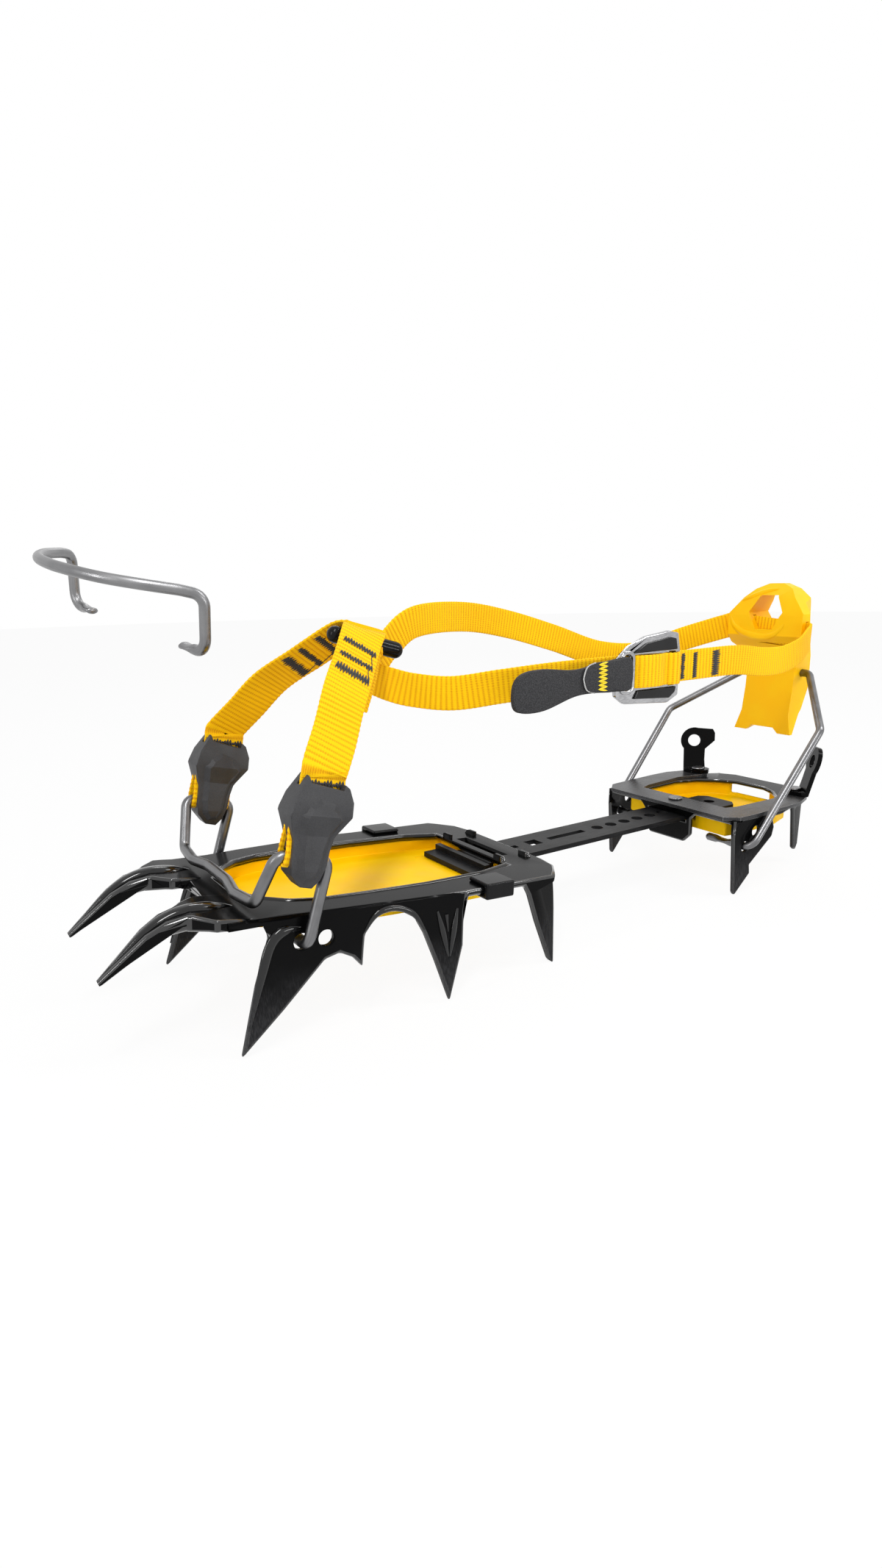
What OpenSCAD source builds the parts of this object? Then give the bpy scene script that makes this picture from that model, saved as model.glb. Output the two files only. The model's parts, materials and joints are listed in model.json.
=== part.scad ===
// Twelve-point climbing crampon with a strap toe harness, a heel lever and a spare wire toe bail.
// All sizes are millimetres. X points to the toe, Y to the buckle side, Z up. The point tips stand on Z = 0.

/* [Front frame] */
// Width across the side edges of the front frame
front_w = 85; // [80:1:92]
// Sheet thickness of the front frame
sheet_t = 2.6; // [2.2:0.1:3]
// Height of the front frame's top face above the floor at its rear crossbar
rim_h = 34; // [32:1:40]
// Rise of the front frame towards the toe, in degrees
front_tilt = 3.9; // [2:0.1:5]
// Outward lean of the side flanges, in degrees
flange_lean = 7; // [4:0.5:10]
// Distance from the mid plane to each front point
hook_y = 21; // [19:0.5:23]
// Reach of the front points ahead of the frame's root
hook_reach = 34; // [28:1:38]
// Diameter of the bail holes in the side flanges
bail_hole_d = 5.6; // [5:0.1:6.4]
// Distance between the two bail holes of one flange
bail_hole_pitch = 8; // [7.6:0.1:9]

/* [Link bar] */
// Width of the link bar
bar_w = 21; // [17:0.5:22]
// Thickness of the link bar
bar_t = 2; // [1.6:0.1:2.2]
// Height of the link bar's top face above the floor
bar_top = 30.9; // [30.7:0.1:31]
// Width of the bar's cross head
head_w = 34; // [30:1:38]
// Length of the bar behind its cross head
bar_len = 155; // [150:1:170]
// Diameter of the bar's size holes
size_hole_d = 5.2; // [4:0.1:6]
// Distance between neighbouring size holes
size_pitch = 8.3; // [7.6:0.1:8.6]
// Number of size holes
size_holes = 10; // [6:1:10]

/* [Heel section] */
// Width across the heel frame
heel_w = 77; // [75:1:80]
// Sheet thickness of the heel frame
heel_t = 2; // [1.6:0.1:2.4]
// Height of the heel frame's top face above the floor at its front edge
heel_h = 34.4; // [34:0.2:36]
// Rise of the heel frame towards the rear, in degrees
heel_tilt = 0.8; // [0.4:0.1:1.4]
// Thickness of the flat heel plate
plate_t = 1.6; // [1.2:0.1:2.4]
// Height of the side posts above the heel plate
post_h = 22; // [20:1:26]
// Thickness of the side posts
post_t = 2; // [1.6:0.1:2.4]
// Diameter of the eye in each side post
post_eye_d = 6.2; // [5:0.2:7]
// Diameter of the rivet heads
rivet_d = 6.4; // [5:0.2:7]

/* [Wires] */
// Wire diameter of the strap bail
strap_wire_d = 3.7; // [3.2:0.1:4]
// Wire diameter of the heel bail
heel_wire_d = 3.5; // [3:0.1:4]
// Wire diameter of the spare toe bail
toe_wire_d = 3.7; // [3.2:0.1:4.2]
// Width between the legs of the spare toe bail
toe_bail_w = 84; // [80:1:90]

/* [Heel lever] */
// Height of the heel lever
lever_h = 72; // [68:1:76]
// Width of the heel lever's head
lever_w = 41; // [39:1:44]
// Thickness of the heel lever at its wire
lever_t = 12; // [11:0.5:13]
// Distance across the flats of the finger hole
finger_hole = 16; // [14:0.5:16.5]

/* [Straps] */
// Width of the front straps
front_web = 15; // [13:0.5:16]
// Width of the ankle strap
ankle_web = 12; // [10:0.5:13]
// Thickness of the webbing
web_t = 1.5; // [1.2:0.1:1.6]
// Length of the strap ring
ring_len = 30; // [27:1:34]
// Height of each connector
connector_h = 33.6; // [32:0.4:36]
// Width of each connector
connector_w = 20; // [19.5:0.5:22]
// Thickness of each connector
connector_t = 9; // [8.5:0.5:10]
// Thickness of the buckle plate
buckle_t = 2.2; // [1.6:0.1:2.6]
// Length of the pull tab
tab_len = 40; // [34:1:42]

/* [Fits] */
// Radial clearance of a turning wire in its bore
run_fit = 0.08; // [0.03:0.01:0.1]
// Gap between pieces that pass each other
slide_gap = 0.3; // [0.2:0.05:0.4]

/* [Hidden] */
$fn = 48;

front_x = 20;
heel_x = -84;
front_half = front_w / 2;
heel_half = heel_w / 2;
strap_r = strap_wire_d / 2;
heel_r = heel_wire_d / 2;
toe_r = toe_wire_d / 2;
wall = 2;
tray_drop = 6.7;
heel_tray_drop = 8.4;
tray_t = 1.8;
bar_bottom = bar_top - bar_t;
steel = [0.10, 0.10, 0.11];
bar_steel = [0.22, 0.22, 0.23];
wire_steel = [0.62, 0.63, 0.65];
yellow = [0.98, 0.76, 0.02];
dark_rubber = [0.20, 0.20, 0.21];

// Vectors and paths
function unit(v) = v / norm(v);
function lerp(a, b, k) = a + (b - a) * k;
function mir(p) = [p[0], -p[1], p[2]];
function mirrored(pts) = [for (i = [len(pts) - 1 : -1 : 0]) [pts[i][0], -pts[i][1]]];
function both_sides(pts) = concat(pts, mirrored(pts));
// A corner b between a and c becomes an arc of radius r with n steps
function corner(a, b, c, r, n) =
    let(u = unit(a - b), v = unit(c - b), ang = acos(u * v),
        t = min(r / tan(ang / 2), norm(a - b) * 0.49, norm(c - b) * 0.49),
        rr = t * tan(ang / 2),
        mid = b + unit(u + v) * (rr / sin(ang / 2)),
        e1 = unit(b + u * t - mid), e2 = unit(b + v * t - mid), phi = 180 - ang)
    [for (k = [0 : n]) mid + rr * (sin((1 - k / n) * phi) * e1 + sin(k / n * phi) * e2) / sin(phi)];
function rounded_path(p, r, n) =
    concat([p[0]], [for (i = [1 : len(p) - 2]) each corner(p[i - 1], p[i], p[i + 1], r, n)],
        [p[len(p) - 1]]);
// A smooth curve through the points p with n steps between neighbours
function spline_at(a, b, c, d, k) =
    0.5 * ((2 * b) + (c - a) * k + (2 * a - 5 * b + 4 * c - d) * k * k
        + (3 * b - a - 3 * c + d) * k * k * k);
function spline(p, n) =
    let(last = len(p) - 1)
    concat([for (i = [0 : last - 1], k = [0 : n - 1])
        spline_at(p[max(i - 1, 0)], p[i], p[i + 1], p[min(i + 2, last)], k / n)], [p[last]]);
function tangents(p) =
    [for (i = [0 : len(p) - 1]) unit(p[min(i + 1, len(p) - 1)] - p[max(i - 1, 0)])];
function square_to(v, t) = unit(v - (v * t) * t);
function carried(t, start, i = 0, acc = []) =
    i == len(t) ? acc
    : carried(t, start, i + 1, concat(acc, [square_to(i == 0 ? start : acc[i - 1], t[i])]));
function loft_faces(rings, sides) =
    concat([for (i = [0 : rings - 2], k = [0 : sides - 1])
            each [[i * sides + k, i * sides + (k + 1) % sides, (i + 1) * sides + k],
                [i * sides + (k + 1) % sides, (i + 1) * sides + (k + 1) % sides, (i + 1) * sides + k]]],
        [for (k = [1 : sides - 2]) [0, k + 1, k]],
        [for (k = [1 : sides - 2]) [(rings - 1) * sides, (rings - 1) * sides + k,
            (rings - 1) * sides + k + 1]]);

// A wire along the path p, a hair thinner than its round bearing lengths of radius r
module wire(p, r, start, sides = 12) {
    t = tangents(p);
    n = carried(t, start);
    ring_r = r - 0.03;
    pts = [for (i = [0 : len(p) - 1], k = [0 : sides - 1])
        p[i] + ring_r * (cos(360 * k / sides) * n[i] + sin(360 * k / sides) * cross(t[i], n[i]))];
    polyhedron(points = pts, faces = [for (f = loft_faces(len(p), sides)) [f[2], f[1], f[0]]]);
}

// A strap of width w and thickness th along the path p, with its width along the directions d
module ribbon(p, d, w, th) {
    t = tangents(p);
    pts = [for (i = [0 : len(p) - 1])
        let(a = square_to(d[i], t[i]), b = cross(t[i], a))
        each [p[i] + a * w / 2 + b * th / 2, p[i] - a * w / 2 + b * th / 2,
            p[i] - a * w / 2 - b * th / 2, p[i] + a * w / 2 - b * th / 2]];
    polyhedron(points = pts, faces = [for (f = loft_faces(len(p), 4)) [f[2], f[1], f[0]]]);
}

// The whole path of a wire that is the same on both sides, from the points p of the +Y side
function whole(p) = concat(p, [for (i = [len(p) - 1 : -1 : 0]) mir(p[i])]);

module both() {
    children();
    mirror([0, 1, 0]) children();
}
module in_front() {
    translate([front_x, 0, rim_h]) rotate([0, -front_tilt, 0]) children();
}
module in_heel() {
    translate([heel_x, 0, heel_h]) rotate([0, heel_tilt, 0]) children();
}
// A cylinder along Y centred on [x, y, z]
module y_rod(x, y, z, d, len) {
    translate([x, y, z]) rotate([90, 0, 0]) cylinder(h = len, d = d, center = true);
}

// Front frame. Its own frame has the rear crossbar at u = 0 and the top face at w = 0.
crossbar_front = 10;
crossbar_rear = -7;
root_u = 123;
hole_u = 100.5;
hole_w = -9;
flange_u = 42;
flange_yaw = 5.6;
flange_end_half = front_half - 7;
rim_half = [[crossbar_rear, front_half - 18], [-5.5, front_half - 10], [0, front_half - 3],
    [3, front_half],
    [flange_u + 2, front_half], [63, front_half - 1.8], [80, front_half - 3.6], [93, front_half - 5],
    [106, flange_end_half], [root_u, flange_end_half], [root_u, 9], [root_u - 2, 8]];
opening_half = [[crossbar_front, front_half - 18], [25, front_half - 14.5], [50, front_half - 13],
    [75, front_half - 14], [90, front_half - 15], [99, front_half - 18], [106, front_half - 24],
    [112, 9]];
second_tip = [120.7, -42.3 - (rim_h - 34)];
third_tip = [49.2, -37.4 - (rim_h - 34)];
fourth_tip = [1.1, -34.1 - (rim_h - 34)];
flange_outline = [[flange_u, 0], [43, -6], [43.7, -18.6], third_tip, [54.4, -22.9], [58.5, -12.5],
    [61.5, -7], [66.7, -4], [72, -3.6], [76, -5.5], [79.5, -10], [80, -14], [80.6, -20.3],
    [84, -16.6], [88.2, -14.6], [93.3, -16], [107, -29.6], second_tip, [115.7, -20.8], [111, -6],
    [112.5, -2.5], [118, -1.8], [118, 0]];
fourth_outline = [[4, 0], [3.2, -6], [1.4, -18.4], fourth_tip + [-0.8, 0.6], fourth_tip,
    fourth_tip + [2, 2], [10.1, -17], [14.5, -6], [17, -2], [18, 0]];
hook_tip = [root_u + hook_reach, -16.8];
hook_side = [[root_u - 8, -sheet_t], [root_u - 8, 0], [root_u, 0.9], [root_u + 8, 1.4],
    [root_u + 15, -0.2], [root_u + 21, -3.8], [root_u + 26.5, -8.8], hook_tip + [-2.6, 3.4],
    hook_tip + [0.4, 0.6], hook_tip + [0, -0.6], hook_tip + [-1.4, -0.4], [root_u + 19.8, -7.8],
    [root_u + 13, -4.6], [root_u + 4.7, -3], [root_u - 1, -sheet_t]];
hook_plan = [[root_u - 9, 9 - hook_y], [root_u + 3, 9.5 - hook_y], [root_u + 9, -6.5], [root_u + 20, -4.2],
    [root_u + hook_reach + 1, -1.2], [root_u + hook_reach + 1, 1.2], [root_u + 20, 4.2],
    [root_u + 9, 6.5], [root_u + 3, flange_end_half - hook_y - 1], [root_u - 9, flange_end_half - hook_y]];

module flange_place() {
    translate([flange_u, front_half, 0]) rotate([0, 0, -flange_yaw]) rotate([flange_lean, 0, 0])
        translate([-flange_u, 0, 0]) children();
}
module front_hook() {
    intersection() {
        translate([0, front_w, 0]) rotate([90, 0, 0]) linear_extrude(2 * front_w) polygon(hook_side);
        translate([0, hook_y, -60]) linear_extrude(80) polygon(hook_plan);
    }
}
module front_frame() {
    color(steel)
    difference() {
        in_front() union() {
            translate([0, 0, -sheet_t]) linear_extrude(sheet_t) difference() {
                polygon(both_sides(rim_half));
                polygon(both_sides(opening_half));
                translate([2, -head_w / 2 + 3]) square([crossbar_front - 5, head_w - 6]);
            }
            both() flange_place() rotate([90, 0, 0]) linear_extrude(sheet_t) polygon(flange_outline);
            both() translate([0, front_half, 0]) rotate([90, 0, 0]) linear_extrude(sheet_t)
                polygon(fourth_outline);
            both() front_hook();
            for (u = [-4, crossbar_front - 1.8])
                both() translate([u, head_w / 2 - 2, 0]) cube([1.8, 5, 1.6]);
        }
        bail_axis() y_rod(0, 0, 0, bail_hole_d, 2 * front_w);
        bail_axis() y_rod(-bail_hole_pitch, 0, 0, bail_hole_d, 2 * front_w);
    }
}
module bail_axis() {
    in_front() translate([hole_u, 0, hole_w]) children();
}

// Flexible plate under the front frame that keeps snow off it, a tray with a raised border
tray_in = [[11, front_half - 20], [25, front_half - 16], [50, front_half - 14.5], [75, front_half - 15.5],
    [90, front_half - 17], [99, front_half - 20], [106, front_half - 26], [111, 7]];
module tray_shape(grow) {
    polygon(both_sides([for (i = [0 : len(tray_in) - 1])
        tray_in[i] + [i < 1 ? -2 * grow : (i > len(tray_in) - 3 ? grow : 0), grow]]));
}
module front_antiball_plate() {
    color(yellow)
    difference() {
        in_front() difference() {
            translate([0, 0, -tray_drop - tray_t]) linear_extrude(tray_drop + tray_t - sheet_t)
                tray_shape(wall + 2);
            translate([0, 0, -tray_drop]) linear_extrude(tray_drop) tray_shape(2);
        }
        translate([front_x - 40, -bar_w / 2 - 1, bar_bottom - 0.4]) cube([60, bar_w + 2, 12]);
        translate([front_x + crossbar_front, -head_w / 2 - 1, bar_bottom - 0.4]) cube([15, head_w + 2, 12]);
    }
}
// Sleeves that clip the plate's border to the rim
clip_u = 23;
clip_len = 12;
module antiball_clips() {
    color(steel)
    in_front() both() translate([clip_u, 0, 0]) difference() {
        translate([0, front_half - 9, -sheet_t - 1.6]) cube([clip_len, 11, sheet_t + 3.2]);
        translate([-1, front_half - 12, -sheet_t]) cube([clip_len + 2, 12, sheet_t]);
    }
}

// Link bar with its cross head, slots and size holes
head_x = front_x + crossbar_front + 3;
head_len = 8;
bar_rear = head_x - bar_len;
first_hole_x = bar_rear + 8 + (size_holes - 1) * size_pitch;
module link_bar() {
    color(bar_steel)
    difference() {
        union() {
            translate([bar_rear, -bar_w / 2, bar_bottom]) cube([bar_len + head_len, bar_w, bar_t]);
            translate([head_x, -head_w / 2, bar_bottom]) cube([head_len, head_w, bar_t]);
            translate([head_x, -head_w / 2, bar_bottom]) cube([2.4, head_w, bar_t + 2.2]);
        }
        for (i = [0 : size_holes - 1])
            translate([first_hole_x - i * size_pitch, 0, bar_bottom - 1])
                cylinder(h = bar_t + 2, d = size_hole_d);
        translate([-5.6, -3, bar_bottom - 1]) cube([6, 6, bar_t + 2]);
        translate([-31, -1.6, bar_bottom - 1]) cube([20, 3.2, bar_t + 2]);
        translate([6, -1.5, bar_bottom - 1]) cube([7, 3, bar_t + 2]);
        both() translate([bar_rear - 1, bar_w / 2, bar_bottom - 1]) rotate([0, 0, 45])
            translate([-3, -3, 0]) cube([6, 6, bar_t + 2]);
    }
}

// Heel frame. Its own frame has the front edge at u = 0 and the top face at w = 0.
heel_half_line = [[0, heel_half - 3], [-3, heel_half], [-34, heel_half], [-50, heel_half - 4],
    [-60, heel_half - 8.5], [-67, heel_half - 13.5], [-72, heel_half - 22]];
heel_open_half = [[-11, heel_half - 14], [-16, heel_half - 11], [-38, heel_half - 10.5],
    [-49, heel_half - 15], [-56, heel_half - 22], [-60.5, 8]];
heel_front_tip = [-2.4, -34.5 - (heel_h - 34.4)];
heel_rear_tip = [-9.5, -29.6];
heel_side_outline = [[0, 0], [0.4, -7.4], [-1.2, -32.9], heel_front_tip, [-11.3, -25.7],
    [-10.8, -21.7], [-24, -10.6], [-25, -6.4], [-24, -2.4], [-21, 0]];
heel_rear_outline = [[-12.5, 0], [-13.5, -6], [-12, -27], heel_rear_tip, [-6.8, -28],
    [-3.4, -9], [-1, -3], [0, 0]];
blade_yaw = 5;
heel_hole_u = -7.3;
heel_hole_w = -12.6;
spare_hole = [-13.4, -6.4];
heel_pin = [heel_x + heel_hole_u * cos(heel_tilt) + heel_hole_w * sin(heel_tilt), 0,
    heel_h - heel_hole_u * sin(heel_tilt) + heel_hole_w * cos(heel_tilt)];
tongue_half = bar_w / 2 + 3.5;
module heel_frame() {
    color(steel)
    difference() {
        in_heel() union() {
            translate([0, 0, -heel_t]) linear_extrude(heel_t) difference() {
                polygon(both_sides(heel_half_line));
                polygon(both_sides(heel_open_half));
            }
            both() translate([0, heel_half - 0.4, 0]) rotate([0, 0, -blade_yaw]) rotate([90, 0, 0])
                linear_extrude(heel_t) polygon(heel_side_outline);
            both() translate([-56, heel_half - 11, 0]) rotate([0, 0, 14]) rotate([90, 0, 0])
                linear_extrude(heel_t) polygon(heel_rear_outline);
            translate([-heel_t, 0, 0]) rotate([90, 0, 90]) linear_extrude(heel_t)
                polygon([[-tongue_half - 4, 0], [-tongue_half, -4], [-tongue_half, -12],
                    [-tongue_half + 4, -16], [tongue_half - 4, -16], [tongue_half, -12],
                    [tongue_half, -4], [tongue_half + 4, 0]]);
        }
        translate([heel_x - 10, -bar_w / 2 - slide_gap, bar_bottom - slide_gap])
            cube([20, bar_w + 2 * slide_gap, bar_t + 2 * slide_gap]);
        y_rod(heel_pin[0], 0, heel_pin[2], heel_wire_d + 1.8, 2 * heel_w);
        in_heel() y_rod(spare_hole[0], 0, spare_hole[1], heel_wire_d + 1.8, 2 * heel_w);
        in_heel() for (p = rivet_places) translate([p[0], p[1], -10]) cylinder(h = 20, d = rivet_d / 2);
    }
}
rivet_u = -55.5;
rivet_y = heel_half - 10;
rivet_places = [[-5.5, 0], [rivet_u, rivet_y], [rivet_u, -rivet_y]];
module heel_antiball_plate() {
    heel_in = [[-6, heel_half - 10], [-14, heel_half - 8], [-38, heel_half - 7.5], [-50, heel_half - 11],
        [-59, heel_half - 19], [-64, 9]];
    color(yellow)
    difference() {
        in_heel() difference() {
            translate([0, 0, -heel_tray_drop - tray_t]) linear_extrude(heel_tray_drop + tray_t - heel_t)
                polygon(both_sides(heel_in));
            translate([0, 0, -heel_tray_drop]) linear_extrude(heel_tray_drop)
                polygon(both_sides([for (p = heel_in) p * 0.93 + [-2.6, 0]]));
        }
        translate([heel_x - 100, -bar_w / 2 - 1, bar_bottom - 0.5]) cube([120, bar_w + 2, 12]);
    }
}
// Flat plate that carries the boot's heel
plate_out = [[2.5, heel_half - 5], [-3, heel_half], [-6, heel_half + 0.4], [-20, heel_half + 0.9],
    [-33, heel_half + 1.4], [-44, heel_half + 1], [-55, heel_half - 3], [-60.5, heel_half - 8],
    [-59.5, heel_half - 13]];
plate_in = [[-53, heel_half - 14.5], [-40, heel_half - 10.5], [-16, heel_half - 12], [-10.5, heel_half - 14]];
module heel_plate() {
    color(bar_steel)
    in_heel() linear_extrude(plate_t) difference() {
        polygon(both_sides(concat(plate_out, plate_in)));
        for (p = rivet_places) translate(p) circle(d = rivet_d / 2);
    }
}
module heel_rivets() {
    color(wire_steel)
    in_heel() for (p = rivet_places) translate([p[0], p[1], 0]) {
        foot = p[1] == 0 ? 0 : post_t;
        translate([0, 0, -heel_t]) cylinder(h = heel_t + plate_t + foot, d = rivet_d / 2);
        translate([0, 0, plate_t + foot]) cylinder(h = 1, d = rivet_d);
    }
}
// Side post at a rear corner: a riveted foot and an upright with an eye and a beak that leans outwards
post_lean = 13.5;
post_yaw = 48;
post_place = [-57.3, heel_half - 5.4];
module side_post() {
    eye_w = post_h - 6;
    in_heel() translate([post_place[0], post_place[1], plate_t]) rotate([0, 0, post_yaw]) {
        linear_extrude(post_t) difference() {
            polygon([[5, 0], [5, -3], [1, -7.4], [-3.6, -8.6], [-7.4, -6.6], [-8, -3], [-6, 0]]);
            translate(post_rivet) circle(d = rivet_d / 2);
        }
        rotate([-post_lean, 0, 0]) rotate([90, 0, 0]) linear_extrude(post_t) difference() {
            union() {
                polygon([[5, 0], [5.2, eye_w - 5], [5, eye_w], [-5, eye_w], [-5.6, eye_w - 4.5], [-5.5, 6],
                    [-6, 0]]);
                polygon([[0, eye_w + 6.7], [-9.3, eye_w + 6.1], [-10.4, eye_w + 4], [-10.4, eye_w],
                    [-5.6, eye_w - 4.5], [0, eye_w - 4.5]]);
                translate([0, eye_w]) circle(d = post_eye_d + 7.4);
            }
            translate([0, eye_w]) circle(d = post_eye_d);
        }
    }
}
// The foot's rivet seen from the post's own frame
post_rivet = let(v = [rivet_u, rivet_y] - post_place)
    [v[0] * cos(post_yaw) + v[1] * sin(post_yaw), v[1] * cos(post_yaw) - v[0] * sin(post_yaw)];
module heel_post_left() {
    color(steel) side_post();
}
module heel_post_right() {
    color(steel) mirror([0, 1, 0]) side_post();
}
// Spring leaf that locks the heel section to a size hole, drawn with its pin just clear of the bar
lock_x = heel_x - 11.6;
lock_z = bar_top + slide_gap;
leaf_t = 1;
module lock_leaf() {
    color(steel) {
        translate([0, 0, lock_z]) linear_extrude(leaf_t)
            polygon(both_sides([[lock_x + 2, 9], [lock_x, 18], [lock_x - 1.6, 18], [lock_x - 12, 10.5],
                [lock_x - 12, 3], [lock_x - 10, 2]]));
        translate([lock_x - 7, 0, lock_z + leaf_t]) cylinder(h = 0.8, d = size_hole_d);
    }
}

// Heel bail: one wire from hole to hole, over the shoulders and through the lever
bail_leg_y = heel_half + heel_r + 1.4;
lever_pivot = [-160, 0, 91];
lever_half = 13.3;
inner_end_y = 18;
heel_bail_half = [[heel_pin[0], inner_end_y, heel_pin[2]], [heel_pin[0], bail_leg_y, heel_pin[2]],
    [-132.3, heel_half + 4.7, 69.8], [lever_pivot[0], lever_half + 4, lever_pivot[2]]];
module heel_bail() {
    color(wire_steel) {
        wire(rounded_path(whole(heel_bail_half), 5, 5), heel_r, [0, 0, 1]);
        both() translate([heel_pin[0], inner_end_y + 8.7, heel_pin[2]]) cube([4.8, 5.5, 1.8], center = true);
        both() y_rod(heel_pin[0], heel_half - 2, heel_pin[2], heel_wire_d, 4);
        y_rod(lever_pivot[0], 0, lever_pivot[2], heel_wire_d, 2 * lever_half);
    }
}
// Heel lever: its own frame has the wire's axis at the origin, Y across and Z up
lever_low = -29.5;
lever_high = lever_h + lever_low;
head_half = lever_w / 2;
tunnel_x = 10;
tunnel_z = 20.5;
tunnel_lean = 5;
module heel_lever() {
    outline = [[4, lever_high], [10, lever_high - 2.5], [14, lever_high - 6.5], [head_half, lever_high - 14],
        [head_half, 20], [head_half, 14], [lever_half + 1.4, 9], [lever_half, 0], [lever_half, -20],
        [lever_half + 2.6, lever_low], [9, lever_low], [6, lever_low + 2.5]];
    side = [[7.5, lever_low], [9.5, lever_low], [lever_t / 2 + 0.5, -8], [lever_t / 2, 2], [8, 11],
        [tunnel_x + 4, 18], [tunnel_x + 4.2, 27], [tunnel_x + 1.5, 36], [6, lever_high], [2, lever_high],
        [-1, 34], [-3, 20], [-lever_t / 2 + 0.3, 8], [-lever_t / 2, -8], [-2, -18]];
    plan = [[tunnel_x + 6, head_half], [tunnel_x - 1.8, head_half], [tunnel_x - 4, lever_half + 2.8],
        [-2, lever_half + 0.6], [-8, lever_half]];
    color(yellow)
    translate(lever_pivot) difference() {
        intersection() {
            translate([-20, 0, 0]) rotate([90, 0, 90]) linear_extrude(40) polygon(both_sides_x(outline));
            translate([0, 40, 0]) rotate([90, 0, 0]) linear_extrude(80) polygon(side);
            translate([0, 0, lever_low - 1]) linear_extrude(lever_h + 2) polygon(both_sides(plan));
        }
        y_rod(0, 0, 0, heel_wire_d + 2 * run_fit, 2 * lever_w);
        translate([-20, 0, 29]) rotate([0, 90, 0]) rotate([0, 0, 30])
            cylinder(h = 50, d = finger_hole / cos(30), $fn = 6);
        translate([tunnel_x, 0, tunnel_z]) rotate([-tunnel_lean, 0, 0])
            cube([web_t + 2 * slide_gap, 2 * lever_w, ankle_web + 2 * slide_gap], center = true);
    }
}
function both_sides_x(pts) =
    concat(pts, [for (i = [len(pts) - 1 : -1 : 0]) [-pts[i][0], pts[i][1]]]);

// Strap bail: holes, rear legs, loops through the connectors, front legs and the crossbar
pin_y = front_half - 4.5;
bail_pin = [front_x + hole_u * cos(front_tilt) - hole_w * sin(front_tilt), 0,
    rim_h + hole_u * sin(front_tilt) + hole_w * cos(front_tilt)];
loop_y = front_half - 1;
loop_mid = [119.6, loop_y, 60];
loop_tilt = 14;
loop_ahead = 9.5;
loop_behind = 7.6;
loop_way = [cos(loop_tilt), 0, sin(loop_tilt)];
cross_x = 133.6;
cross_z = 46;
strap_bail_half = [[bail_pin[0], pin_y - 9, bail_pin[2]], [bail_pin[0], loop_y + 0.3, bail_pin[2]],
    loop_mid - loop_way * loop_behind, loop_mid + loop_way * loop_ahead,
    [cross_x, front_half - 9, cross_z], [cross_x + 1.2, 20, cross_z - 0.6], [cross_x - 0.5, 9, cross_z]];
module strap_bail() {
    color(wire_steel) {
        wire(rounded_path(whole(strap_bail_half), 3.5, 4), strap_r, [0, 0, 1]);
        both() translate([bail_pin[0] - 2.8, pin_y - 8, bail_pin[2] - 0.9]) cube([5.6, 4, 1.8]);
        both() y_rod(bail_pin[0], pin_y - 1, bail_pin[2], strap_wire_d, 5);
        both() translate(loop_mid + loop_way) rotate([0, 90 - loop_tilt, 0])
            cylinder(h = loop_ahead, d = strap_wire_d, center = true);
    }
}
// Connector: a moulded block that turns on the wire loop and takes the front strap's end
web_shift = -1.2;
module connector() {
    h = connector_h;
    c = connector_w / 2;
    d = connector_t / 2;
    front_view = [[c - 5, h - 8.8], [c - 1.8, h - 15], [c - 0.5, h - 20.6], [6.8, 5.5], [6.6, -1], [5.6, -5],
        [2, -8.5], [-2, -8.8], [-4, -6], [-5, -1], [-5.3, 3], [-6.2, 6.8], [-c - 0.5, 13.5],
        [-c - 0.5, h - 15.6], [-c + 1.2, h - 11.6], [-c + 2.7, h - 10.6], [-c + 3.2, h - 12.4],
        [c - 6.2, h - 11]];
    side_view = [[d - 1.5, -9], [d, -2], [d - 0.8, 8], [d + 0.5, 14], [d - 1.5, h - 8], [-d + 1.5, h - 8],
        [-d - 0.5, 14], [-d + 0.8, 8], [-d, -2], [-d + 1.5, -9]];
    translate(loop_mid) rotate([0, -loop_tilt, 0]) difference() {
        intersection() {
            translate([0, 20, 0]) rotate([90, 0, 0]) linear_extrude(40) polygon(front_view);
            translate([-20, 0, 0]) rotate([90, 0, 90]) linear_extrude(40) polygon(side_view);
        }
        rotate([0, 90, 0]) cylinder(h = 60, d = strap_wire_d + 2 * run_fit, center = true);
        for (x = [5.4, -23.4]) translate([x, 0, 0]) rotate([0, 90, 0])
            cylinder(h = 20, d = strap_wire_d + 1.2);
        translate([web_shift - front_web / 2 - slide_gap, -web_t / 2 - slide_gap, 11.7])
            cube([front_web + 2 * slide_gap, web_t + 2 * slide_gap, 40]);
    }
}
module connector_left() {
    color(dark_rubber) connector();
}
module connector_right() {
    color(dark_rubber) mirror([0, 1, 0]) connector();
}
// Strap ring: a rounded bar that lies fore and aft on the instep
ring_mid = [74, 0, 118];
ring_tilt = 16;
ring_d = 6;
module strap_ring() {
    color(steel)
    translate(ring_mid) rotate([0, -ring_tilt, 0]) {
        rotate([0, 90, 0]) cylinder(h = ring_len - ring_d, d = ring_d, center = true);
        for (s = [-1, 1]) translate([s * (ring_len - ring_d) / 2, 0, 0]) sphere(d = ring_d);
    }
}
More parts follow.
